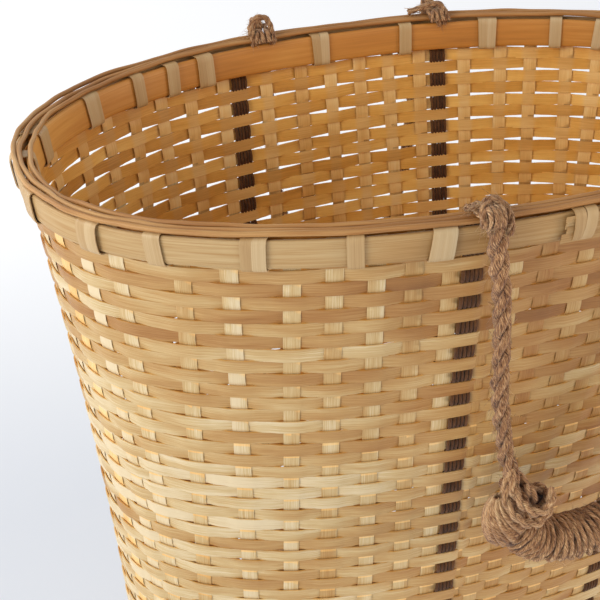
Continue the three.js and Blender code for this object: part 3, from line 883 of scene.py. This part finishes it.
def lashingPiece():
    dice = random.Random(lashing["seed"])
    wide, lean = lashing["wide"], lashing["lean"]
    wraps = []
    for kind in (wide, lashing["narrow"]):
        for turn in kind["turns"]:
            for side in kind["strands"]:
                # a wide lashing is two strands side by side, the second lapped over the first
                shift = side * kind["spread"] + dice.uniform(-kind["sway"], kind["sway"]) if side else 0
                bulge = lashing["bulged"].get(turn, lashing["bulge"]) + (lashing["overlap"] if side > 0 else 0)
                wraps.append({
                    "turn": turn, "shift": shift, "width": kind["width"] + dice.uniform(*kind["widths"]),
                    "lean": dice.uniform(-lean, lean), "tone": dice.uniform(*kind["tones"]), "bulge": bulge})
    height, innermost = rim["outer"]["height"] / 2, rim["inner"]["faces"][1] / 2
    clear = lashing["gap"] + lashing["thickness"] / 2

    def place(k, u, v):
        wrap = wraps[k]
        down = signedPower(cos(u * fullTurn), lashing["corner"])
        across = signedPower(sin(u * fullTurn), lashing["corner"])
        outward = across * (clear - innermost) + innermost
        if across > 0:
            outward += wrap["bulge"] * across * (1 - down * down * 0.8)
        inside = smooth((-across + 0.4) / 0.8) * smooth((down + 1) / 2)
        depth = height + down * (height + clear) + (rim["inner"]["height"] - rim["outer"]["height"]) * inside
        aside = wrap["shift"] + (v - 0.5) * wrap["width"] + wrap["lean"] * down
        turn = wrap["turn"] + aside / turnSpeed(wrap["turn"], 0)
        return basketPoint(turn, depth, outward + copysign(lashing["cup"] * crownAt(v), across))

    bm = stripGrid(
        len(wraps), lashing["pathPoints"], 4, place, [(lashing["length"], wrap["width"]) for wrap in wraps],
        [wrap["tone"] for wrap in wraps], True)
    nodes = [f"rim_lashing_{i + 1:02d}" for i in range(len(wide["turns"]) + len(lashing["narrow"]["turns"]))]
    bambooPiece(bm, "rimLashings", lashingBamboo, "lashing_bamboo", nodes, lashing["thickness"])


lashingPiece()


# Rope eyes, handle ropes and grips

handles = {
    "front": {"side": -1, "ropeX": (-50, 80), "ropeSeed": 1, "gripSeed": 5},
    "back": {"side": 1, "ropeX": (-61, 59), "ropeSeed": 3, "gripSeed": 8},
}
hands = ("left", "right")
axisY, axisZ = 148.775, 378.952
rope = {
    "route": [(0, 3.2), (0.6, 8), (3.4, 25), (6.6, 46), (8.6, 74), (10, 98), (14, 122), (18.6, 143)],
    "diameter": 9, "strands": 3, "strandShare": 0.464, "lay": 37, "samples": 190, "sides": 9, "wander": 0.35,
    "tone": 0.42, "fibres": 800,
}
grip = {
    "diameter": 26, "chord": 112, "sag": 37, "drop": 202, "hitchBite": 2.5, "hitchShare": 0.065,
    "hitchDiameter": 19, "cord": 4.1, "turns": 26, "plySteps": 1300, "plyPitch": 34, "plySides": 7,
    "lean": 5.5, "reach": 11.0, "windingStart": 0.1, "gaps": [(0.36, 2.2), (0.55, 0.8), (0.66, 1.8)],
    "gapReach": 0.012, "slim": 3.2, "slimFrom": 0.05, "slimReach": 0.33, "fibres": 1700,
    "coreRadius": 9.3, "coreStart": 0.12, "coreSteps": 60, "coreSides": 18, "coreTone": 0.12,
}
gripRadius = (grip["chord"] ** 2 / 4 + grip["sag"] ** 2) / (2 * grip["sag"])
gripHalfAngle = asin(grip["chord"] / 2 / gripRadius)
gripLength = 2 * gripRadius * gripHalfAngle


def gripFrame(handle, share):
    angle = (2 * share - 1) * gripHalfAngle
    radial = Vector((sin(angle), 0, -cos(angle)))
    centre = Vector((sum(handle["ropeX"]) / 2, handle["side"] * axisY, axisZ - grip["drop"] + gripRadius))
    return centre + radial * gripRadius, radial, Vector((cos(angle), 0, sin(angle)))


def gripPoint(handle, share, reach, angle):
    point, radial, along = gripFrame(handle, share)
    return (point + radial * reach * cos(angle) + Vector((0, 1, 0)) * reach * sin(angle)) * mm


def hitchShare(index):
    return 1 - grip["hitchShare"] if index else grip["hitchShare"]


def hitchCentre(handle, index):
    reach = grip["hitchBite"] - (grip["diameter"] + grip["hitchDiameter"]) / 2
    return gripPoint(handle, hitchShare(index), reach, 0)


def rimHalfWidthAt(x):
    power = basket["ovalPower"]
    return basket["halfWidth"] * (1 - abs(x / basket["halfLength"]) ** power) ** (1 / power)


fuzzSpots = {"basket": [], "front_handle": [], "back_handle": []}


def addFuzz(body, line, radius, count, seed):
    # Notes where loose fibres stand out of a rope's surface.
    dice = random.Random(seed)
    frames = framesOf(line)
    for n in range(count):
        i = dice.randrange(1, len(line) - 1)
        outward = around(*frames[i], dice.uniform(0, fullTurn))
        along = (line[i + 1] - line[i - 1]).normalized() * dice.choice((-1, 1))
        fuzzSpots[body].append((line[i] + outward * radius * 0.92, outward, along, dice.random()))


def ropePiece(place, hand, line, seed):
    radius = rope["diameter"] / 2
    strandRadius = radius * rope["strandShare"]
    lines = strandLines(line, rope["strands"], (radius - strandRadius) * mm, rope["lay"] * mm, seed)
    for k, strand in enumerate(lines):
        for i, point in enumerate(strand):
            spot = Vector((i * 0.16, k * 5.1, seed))
            wander = (point - line[i]) * rope["wander"] * noise.noise(spot)
            strand[i] = point + wander + noise.noise_vector(spot) * rope["wander"] * mm

    def radiusAt(k, u):
        return strandRadius * mm * (1.2 - 0.24 * smooth(u / 0.6)) * (
            1.02 + 0.16 * ripple(u * 26, k * 4.4, seed) + 0.07 * ripple(u * 150, k, seed))

    tones = [rope["tone"] + 0.16 * ripple(k * 1.9, seed, 3) for k in range(rope["strands"])]
    bm = tubes(lines, radiusAt, rope["sides"], tones)
    return jutePiece(bm, f"rope_{place}_{hand}", place + "_handle", [f"{place}_rope_{hand}"])


for place, handle in handles.items():
    for index, hand in enumerate(hands):
        x, y = handle["ropeX"][index], handle["side"] * axisY
        inward = -1 if index else 1
        route = [Vector((x + inward * across, y, axisZ - down)) * mm for across, down in rope["route"]]
        line = curveThrough([*route, hitchCentre(handle, index)], rope["samples"])
        piece = ropePiece(place, hand, line, handle["ropeSeed"] + index)
        addFuzz(place + "_handle", line, rope["diameter"] / 2 * mm, rope["fibres"], handle["ropeSeed"] + index)
        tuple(route[0])
        round(lineLength(line), 3)
print("handle ropes laid")


# Eyes, rings, grips and loose fibres of the handles

eye = {
    "halfSpread": 5.2, "cord": 3.8, "corner": 2.6, "lay": 15, "points": 70, "sides": 7, "rodClear": 0.3,
    "innerSpread": 1.9, "innerCord": 3.2, "overCord": 3.9, "tailCord": 2.6, "plyShare": 0.27, "fibres": (80, 70),
}
ringLoop = {
    "radius": 4.6, "cord": 2.3, "shift": 0.5, "shifts": (-1.95, 0, 1.95), "sweep": 190, "points": 46, "sides": 8,
    "tones": (0.44, 0.52, 0.48), "fibres": 60,
}


def eyeLines(handle, x):
    # The loop over the rods, and two inner strands that run into it.
    spread, corner, cordWidth, inside = eye["halfSpread"], eye["corner"], eye["cord"], eye["innerSpread"]
    rodsReach = rods["middle"] - rods["pitch"] - rods["diameter"] / 2
    footY = rimHalfWidthAt(abs(x) + spread + cordWidth) + rodsReach - eye["rodClear"] - cordWidth / 2
    eased = corner * (1 - sqrt(0.5))
    half = [
        (spread, footY, -4.5), (spread, footY, -cordWidth), (spread, footY + cordWidth, 0),
        (spread, axisY - 2 * corner, 0), (spread, axisY - corner, 0),
        (spread - eased, axisY - eased, 0), (spread - corner, axisY, 0)]
    strand = [
        (inside, footY - 0.2, -4.2), (inside, footY + 0.2, -3.2), (inside, footY + 3.6, 0.5),
        (inside + 0.2, axisY - 12.5, 0.4), (3.3, axisY - 8.6, -0.2), (spread - 0.6, axisY - 5, -0.6)]

    def place(points, sign):
        return [Vector((x + sign * a, handle["side"] * b, axisZ + c)) * mm for a, b, c in points]

    outer = curveThrough(place(half, -1) + place(half[::-1], 1), eye["points"])
    return outer, [curveThrough(place(strand, sign), eye["points"]) for sign in (-1, 1)]


# Cord ends wound over each eye: distance along the rim, distance out from the basket's middle, height over the
# swing axis. The first cord of each is the thick one, the rest are loose ends.
overCords = {
    "front_left": [
        [(-5.8, 149.2, -4), (-6.2, 148.4, 0), (-5.2, 145.6, 3.4), (-2.2, 142.4, 5.6), (0.8, 141.6, 6),
         (3.8, 142.8, 5.0), (6.6, 146.2, 2), (7.2, 149.5, -3), (6.2, 151, -9)],
        [(-3, 140.5, 2.6), (-7.5, 141.5, 3.2), (-12, 142.2, 2.6)],
        [(-4.0, 147.6, 4.6), (-4.4, 150.6, 3.4), (-4.7, 152.6, 0.4), (-4.9, 151.8, -3.2), (-4.7, 149.5, -6.2)]],
    "front_right": [
        [(-8.0, 150.6, -8), (-7.6, 149, -1), (-6.6, 146, 2.6), (-3, 142.2, 5.0), (0.5, 141.2, 5.6),
         (4, 142.3, 5.0), (7.2, 146, 2.4), (7.8, 149.5, -3), (7.0, 150, -7)],
        [(5, 140.5, 1.4), (8.5, 140.5, 1.6), (11, 139.5, 0.2)]],
    "back_left": [
        [(-7.4, 131.6, -7), (-7.7, 131.8, -2), (-7.4, 134, 4), (-5.0, 136.2, 7.9), (-1.2, 136.8, 9.2),
         (2.8, 136.4, 7.8), (4.7, 134.2, 3.4), (5.0, 131.8, -2), (4.9, 131.5, -7)],
        [(-4.5, 132.5, -1.5), (-8, 133.5, 1.2), (-10.5, 133.5, 0.4)]],
    "back_right": [
        [(4.0, 131.5, -8), (4.4, 131.9, -3), (4.2, 134, 1.6), (1.6, 136.3, 4.6), (-3.5, 137.5, 4.2),
         (-9, 138.5, 2.6), (-14, 139.5, 1.2), (-18, 140, -0.4)],
        [(-3, 137, 1.4), (-10, 137.6, 1.8), (-19.5, 138.6, 1.0)],
        [(0.8, 131.6, -9), (0.6, 132, -2.4), (-0.8, 134.6, 2)]],
}


def eyePiece(place, hand, handle, x):
    outer, inner = eyeLines(handle, x)
    wound = [
        curveThrough([Vector((x + along, handle["side"] * out, axisZ + rise)) * mm for along, out, rise in route],
                     eye["points"]) for route in overCords[place + "_" + hand]]
    plies = strandLines(outer, 2, eye["cord"] / 4 * mm, eye["lay"] * mm, x)
    plies += strandLines(wound[0], 3, eye["overCord"] / 4 * mm, eye["lay"] * mm, x + 1)
    lines = plies + inner + wound[1:]

    def radiusAt(k, u):
        if k >= len(plies) + 2:
            radius = eye["tailCord"] / 2 * (1 - 0.85 * u * u)
        elif k >= len(plies):
            radius = eye["innerCord"] / 2 * (1 - 0.25 * u)
        else:
            radius = (eye["cord"] if k < 2 else eye["overCord"]) * eye["plyShare"]
        return radius * mm * (1 + 0.14 * ripple(u * 30, k * 3.3, x))

    tones = [0.44, 0.52, 0.42, 0.5, 0.46, 0.46, 0.5] + [lambda u: 0.45 + 0.3 * u] * (len(wound) - 1)
    bm = tubes(lines, radiusAt, eye["sides"], tones)
    jutePiece(bm, f"eye_{place}_{hand}", "basket", [f"rope_eye_{place}_{hand}"])
    addFuzz("basket", outer, eye["cord"] / 2 * mm, eye["fibres"][0], x)
    for line in wound:
        addFuzz("basket", line, eye["overCord"] / 2 * mm, eye["fibres"][1], x)


def ringPiece(place, hand, handle, x):
    line = []
    for i in range(ringLoop["points"]):
        share = 2 * i / (ringLoop["points"] - 1) - 1
        angle = radians(ringLoop["sweep"]) * share
        line.append(Vector((
            x + ringLoop["shift"] * share, handle["side"] * axisY + ringLoop["radius"] * sin(angle),
            axisZ + ringLoop["radius"] * cos(angle))) * mm)
    loops = [
        [point + Vector((shift + 0.25 * ripple(i * 0.13, shift, x), 0, 0)) * mm for i, point in enumerate(line)]
        for shift in ringLoop["shifts"]]
    bm = tubes(loops, lumpy(ringLoop["cord"] / 2, 0.1, 20, x + 4), ringLoop["sides"], ringLoop["tones"])
    addFuzz(place + "_handle", line, ringLoop["cord"] * mm, ringLoop["fibres"], x + 1)
    jutePiece(bm, f"ring_{place}_{hand}", place + "_handle")


def windingLine(handle, seed):
    first, steps = grip["windingStart"], grip["plySteps"]
    line = []
    for i in range(steps + 1):
        share = first + (1 - 2 * first) * i / steps
        for spot, width in grip["gaps"]:
            nearness = (share - spot) / grip["gapReach"]
            share += width / 2 / gripLength * tanh(nearness) * exp(-(nearness / 6) ** 2)
        turns = grip["turns"] * i / steps
        angle = turns * fullTurn
        wander = 0.5 * ripple(turns * 0.9, seed, 2)
        shift = (-grip["lean"] * cos(angle) * (1 - 2 * share) + wander) / gripLength
        slim = grip["slim"] * (1 - smooth((min(share, 1 - share) - grip["slimFrom"]) / grip["slimReach"]))
        reach = grip["reach"] - slim + 0.45 * ripple(turns * 1.4, seed, 6)
        radial = gripFrame(handle, share)[1]
        line.append(gripPoint(handle, share + shift, reach, angle) - radial * slim * mm)
    return line


def windingPiece(place, handle, seed):
    line = windingLine(handle, seed)
    plies = strandLines(line, 2, grip["cord"] * 0.24 * mm, grip["plyPitch"] * mm, seed, -1)

    def toneOf(k):
        return lambda u: 0.46 + 0.05 * k + 0.16 * ripple(u * 60, k, seed)

    bm = tubes(plies, lumpy(grip["cord"] * 0.3, 0.14, 300, seed), grip["plySides"], [toneOf(0), toneOf(1)])
    jutePiece(bm, f"winding_{place}", place + "_handle", [f"{place}_grip_winding"])
    addFuzz(place + "_handle", line, grip["cord"] / 2 * mm, grip["fibres"], seed)


def corePiece(place, handle):
    first, steps = grip["coreStart"], grip["coreSteps"]
    line = [gripPoint(handle, first + (1 - 2 * first) * i / steps, 0, 0) for i in range(steps + 1)]
    bm = tubes([line], lambda k, u: grip["coreRadius"] * mm, grip["coreSides"], [grip["coreTone"]])
    jutePiece(bm, f"core_{place}", place + "_handle", [f"{place}_grip_core"])


cap = {
    "start": 0.15, "tip": 0.0, "rise": 6.2, "reach": 10.2, "power": 1.15, "strands": 22, "twist": 0.7,
    "cord": 2.1, "steps": 18, "sides": 8, "stubTone": 0.12, "tone": 0.44, "fibres": 12, "fibreReach": 1.2,
}


def capPiece(place, hand, handle, seed):
    # Yarn ends drawn together over the grip's end, up towards the rope, over a dark stub.
    dice = random.Random(seed)
    steps = cap["steps"]

    def capPoint(u, reach, angle):
        share = cap["start"] + (cap["tip"] - cap["start"]) * u
        if hand == "right":
            share = 1 - share
        narrow = sqrt(max(1 - 0.95 * min(u, 1) ** cap["power"], 0.0))
        lift = gripFrame(handle, share)[1] * cap["rise"] * u * u * mm
        return gripPoint(handle, share, reach * narrow, angle) - lift

    lines = [[capPoint(0.96 * i / steps, 0, 0) for i in range(steps + 1)]]
    tones, tips = [cap["stubTone"]], [1.0]
    for n in range(cap["strands"]):
        angle = fullTurn * (n + dice.uniform(-0.3, 0.3)) / cap["strands"]
        end = dice.uniform(0.93, 1.1)
        reach = cap["reach"] + dice.uniform(-0.5, 0.7)
        lines.append([
            capPoint(end * i / steps, reach, angle + cap["twist"] * (i / steps) ** 2) for i in range(steps + 1)])
        tips.append(dice.uniform(0.55, 0.8))
        tones.append(lambda u, pale=dice.uniform(0.1, 0.5): cap["tone"] + pale * u * u)

    def radiusAt(k, u):
        if k == 0:
            return (cap["reach"] - 1) * mm * sqrt(max(1 - 0.96 * u ** cap["power"], 0.02))
        return cap["cord"] * mm * (1 - tips[k] * u ** 1.6) * (1 + 0.1 * ripple(u * 9, k * 3.3, seed))

    bm = tubes(lines, radiusAt, cap["sides"], tones)
    jutePiece(bm, f"cap_{place}_{hand}", place + "_handle", [f"{place}_grip_cap_{hand}"])
    for n, line in enumerate(lines[1:]):
        addFuzz(place + "_handle", line, cap["fibreReach"] * mm, cap["fibres"], seed + n)


hitch = {
    "cord": 4.9, "plyShare": 0.29, "lay": 17, "coilTurns": 2.6, "coilReach": 8.2, "coilRise": (-6.5, 5.5),
    "coilShift": -4.5, "loopReach": 5.6, "loopTurns": 1.35, "loopStart": 0.62, "loopWidth": 2.4,
    "loopPlace": (5.0, 4.2, 2.4), "steps": 90, "sides": 8, "fibres": 120,
    "over": [
        [(-11, 2, 19), (-12.5, 9, 9.5), (-7, 14.2, 0.5), (1.5, 15, -3.5), (8.5, 11.5, -1), (11, 7, 4)],
        [(-12.5, 1, 16), (-16, 8.5, 4.5), (-11, 14.4, -5), (-2, 15.6, -9.5), (6.5, 12.6, -7), (11, 8, -2)]],
    "coreRadius": 7.2, "coreRise": (-8, 7), "shadeHollowRadius": 4.4, "shadeHollowReach": (-3.4, -0.8),
    # turn of each cord's plies, and the tone of each ply, the coil's core and the loop's hollow; the dark core
    # and black hollow are painted shade
    "plyTurns": (0, 2, 1, 3), "tones": (0.42, 0.5, 0.5, 0.44, 0.62, 0.56, 0.54, 0.6, 0.16, 0.0),
}


def hitchPiece(place, hand, handle, index, seed):
    # The rope's end is coiled on the grip, and one open loop of it stands beside the coil.
    point, radial, along = gripFrame(handle, hitchShare(index))
    toMiddle = -along if index else along
    centre = hitchCentre(handle, index) / mm
    out = Vector((0, handle["side"], 0))
    inward = Vector((-1 if index else 1, 0, 0))
    coilCentre = centre + inward * hitch["coilShift"]
    ringOut = (out * 0.8 + Vector((0, 0, 0.55))).normalized()
    ringSide = (toMiddle - ringOut * toMiddle.dot(ringOut)).normalized()
    ringUp = ringOut.cross(ringSide)
    if ringUp.z < 0:
        ringUp = -ringUp
    far, near, rise = hitch["loopPlace"]
    loopCentre = centre + toMiddle * far + out * near - radial * rise

    def trace(pointAt):
        return [pointAt(i / hitch["steps"]) * mm for i in range(hitch["steps"] + 1)]

    def between(ends, u):
        return ends[0] + (ends[1] - ends[0]) * u

    coil = trace(lambda u: coilCentre - radial * between(hitch["coilRise"], u)
                 + around(toMiddle, out, hitch["coilTurns"] * fullTurn * u + seed) * hitch["coilReach"])
    loop = trace(lambda u: loopCentre + ringOut * hitch["loopWidth"] * (u - 0.5) + around(
        ringSide, ringUp, fullTurn * (hitch["loopStart"] - hitch["loopTurns"] * u)) * hitch["loopReach"])
    over = [
        curveThrough([(centre + inward * a + out * b + Vector((0, 0, c))) * mm for a, b, c in route],
                     hitch["steps"] + 1) for route in hitch["over"]]
    cords = (coil, loop, *over)
    lines = []
    for cord, turn in zip(cords, hitch["plyTurns"]):
        lines += strandLines(cord, 2, hitch["cord"] / 4 * mm, hitch["lay"] * mm, seed + turn)
    # a dark core inside the coil and a black tube inside the loop: painted shade where the knot's inside lies in
    # shadow
    lines.append(trace(lambda u: coilCentre - radial * between(hitch["coreRise"], u)))
    lines.append(trace(lambda u: loopCentre + ringOut * between(hitch["shadeHollowReach"], u)))

    def radiusAt(k, u):
        if k == 8:
            return hitch["coreRadius"] * mm * sqrt(max(1 - (1.9 * u - 0.95) ** 2, 0.05))
        if k == 9:
            return hitch["shadeHollowRadius"] * mm
        return hitch["cord"] * hitch["plyShare"] * mm * (1 + 0.14 * ripple(u * 30, k * 3.3, seed))

    bm = tubes(lines, radiusAt, hitch["sides"], hitch["tones"])
    jutePiece(bm, f"hitch_{place}_{hand}", place + "_handle", [f"{place}_grip_hitch_{hand}"])
    for line in cords:
        addFuzz(place + "_handle", line, hitch["cord"] / 2 * mm, hitch["fibres"], seed)


for place, handle in handles.items():
    seed = handle["gripSeed"]
    for index, hand in enumerate(hands):
        x = handle["ropeX"][index]
        eyePiece(place, hand, handle, x)
        ringPiece(place, hand, handle, x)
        capPiece(place, hand, handle, seed + 10 * index)
        hitchPiece(place, hand, handle, index, seed + index)
    windingPiece(place, handle, seed)
    corePiece(place, handle)
print("grips and eyes made")


fibre = {"length": (1.4, 5.2), "radius": 0.15, "lift": 0.5, "sway": 0.45, "sides": 3}


def fuzzPiece(body, spots):
    # Loose fibres of the rope: fine bent hairs, most lying close to the surface, a few standing out.
    dice = random.Random(len(spots))
    lines = []
    for spot, outward, along, share in spots:
        length = (fibre["length"][0] + fibre["length"][1] * share ** 3) * mm
        rise = fibre["lift"] * (0.3 + dice.random())
        sway = Vector((dice.uniform(-1, 1), dice.uniform(-1, 1), dice.uniform(-1, 0.4))) * fibre["sway"]
        lines.append([
            spot, spot + (outward * rise * 0.5 + along * 0.6 + sway * 0.4) * length * 0.5,
            spot + (outward * rise + along + sway) * length])
    bm = tubes(
        lines, lambda k, u: fibre["radius"] * mm * (1 - 0.7 * u), fibre["sides"],
        [dice.uniform(0.3, 0.95) for spot in spots])
    jutePiece(bm, "fibres_" + body, body)


for body, spots in fuzzSpots.items():
    fuzzPiece(body, spots)


# Floor, backdrop and light

studio = {
    "floorRadius": 14, "floorSegments": 96, "floorColour": "#F4F6FA", "floorRoughness": 0.9,
    "worldLight": 0.56, "worldColour": "#F7FAFF", "floorGlow": 0.65, "glowStrength": 1.22,
    "away": (0.3565, 0.9343), "nearReach": (0.0, 0.75), "nearDrop": 0.95, "leftReach": (-0.5, 1.2),
    "leftDrop": 0.75, "shadeColour": "#CCD1D9",
}


def seenDirectly(tree):
    # 1 for what the camera sees straight, in a gloss or through glass.
    rays = addNode(tree, "ShaderNodeLightPath").outputs
    either = maths(tree, "MAXIMUM", rays["Is Camera Ray"], rays["Is Glossy Ray"])
    return maths(tree, "MAXIMUM", either, rays["Is Transmission Ray"])


def mixShaders(tree, share, first, second, output):
    mix = addNode(tree, "ShaderNodeMixShader", {0: share, 1: first, 2: second})
    tree.links.new(mix.outputs["Shader"], tree.nodes[output].inputs["Surface"])


floorMaterial, floorTree, floorShader = newMaterial("floorPaper")
floorShader.inputs["Base Color"].default_value = linear(studio["floorColour"])
floorShader.inputs["Roughness"].default_value = studio["floorRoughness"]
floorPlace = addNode(floorTree, "ShaderNodeTexCoord").outputs["Object"]
awayX, awayY = studio["away"]
fromNear, fromLeft = (
    addNode(floorTree, "ShaderNodeVectorMath", {0: floorPlace, 1: way}, operation="DOT_PRODUCT").outputs["Value"]
    for way in ((awayX, awayY, 0), (awayY, -awayX, 0)))
nearShade = mapRange(floorTree, fromNear, studio["nearReach"], (studio["nearDrop"], 0.0), "SMOOTHSTEP")
leftShade = mapRange(floorTree, fromLeft, studio["leftReach"], (0.0, studio["leftDrop"]))
bothShades = maths(floorTree, "ADD", nearShade, leftShade, clamp=True)
glow = addNode(floorTree, "ShaderNodeEmission", {
    "Color": mixColours(floorTree, bothShades, (1, 1, 1, 1), linear(studio["shadeColour"])),
    "Strength": studio["glowStrength"]})
mixShaders(
    floorTree, maths(floorTree, "MULTIPLY", seenDirectly(floorTree), studio["floorGlow"]),
    floorShader.outputs["BSDF"], glow.outputs["Emission"], "Material Output")

floorBm = bmesh.new()
bmesh.ops.create_circle(floorBm, cap_ends=True, segments=studio["floorSegments"], radius=studio["floorRadius"])
meshObject(floorBm, "floor", floorMaterial)

world = bpy.data.worlds.new("studio")
bpy.context.scene.world = world
world.use_nodes = True
worldShade = world.node_tree.nodes["Background"]
worldShade.inputs["Color"].default_value = linear(studio["worldColour"])
worldShade.inputs["Strength"].default_value = studio["worldLight"]
whiteShade = addNode(world.node_tree, "ShaderNodeBackground", {"Color": (1, 1, 1, 1), "Strength": 1.0})
mixShaders(
    world.node_tree, seenDirectly(world.node_tree), worldShade.outputs["Background"],
    whiteShade.outputs["Background"], "World Output")

lamps = {
    "key": {"place": (-1.85, -0.7, 1.05), "aim": (0, 0, 0.2), "size": 1.0, "power": 22.4, "colour": "#FFFAF2"},
    "rim": {"place": (-1.5, 1.1, 0.9), "aim": (0, 0, 0.25), "size": 0.8, "power": 9, "colour": "#FFFFFF"},
    "fill": {"place": (1.9, -1.1, 0.45), "aim": (0, 0, 0.15), "size": 0.7, "power": 18, "colour": "#FFE6C8"},
}
for name, lamp in lamps.items():
    data = bpy.data.lights.new(name, "AREA")
    data.size = lamp["size"]
    data.energy = lamp["power"]
    data.color = linear(lamp["colour"])[:3]
    placeAimed(name, data, lamp["place"], Vector(lamp["aim"]) - Vector(lamp["place"]))

bpy.context.scene.view_settings.view_transform = "Standard"
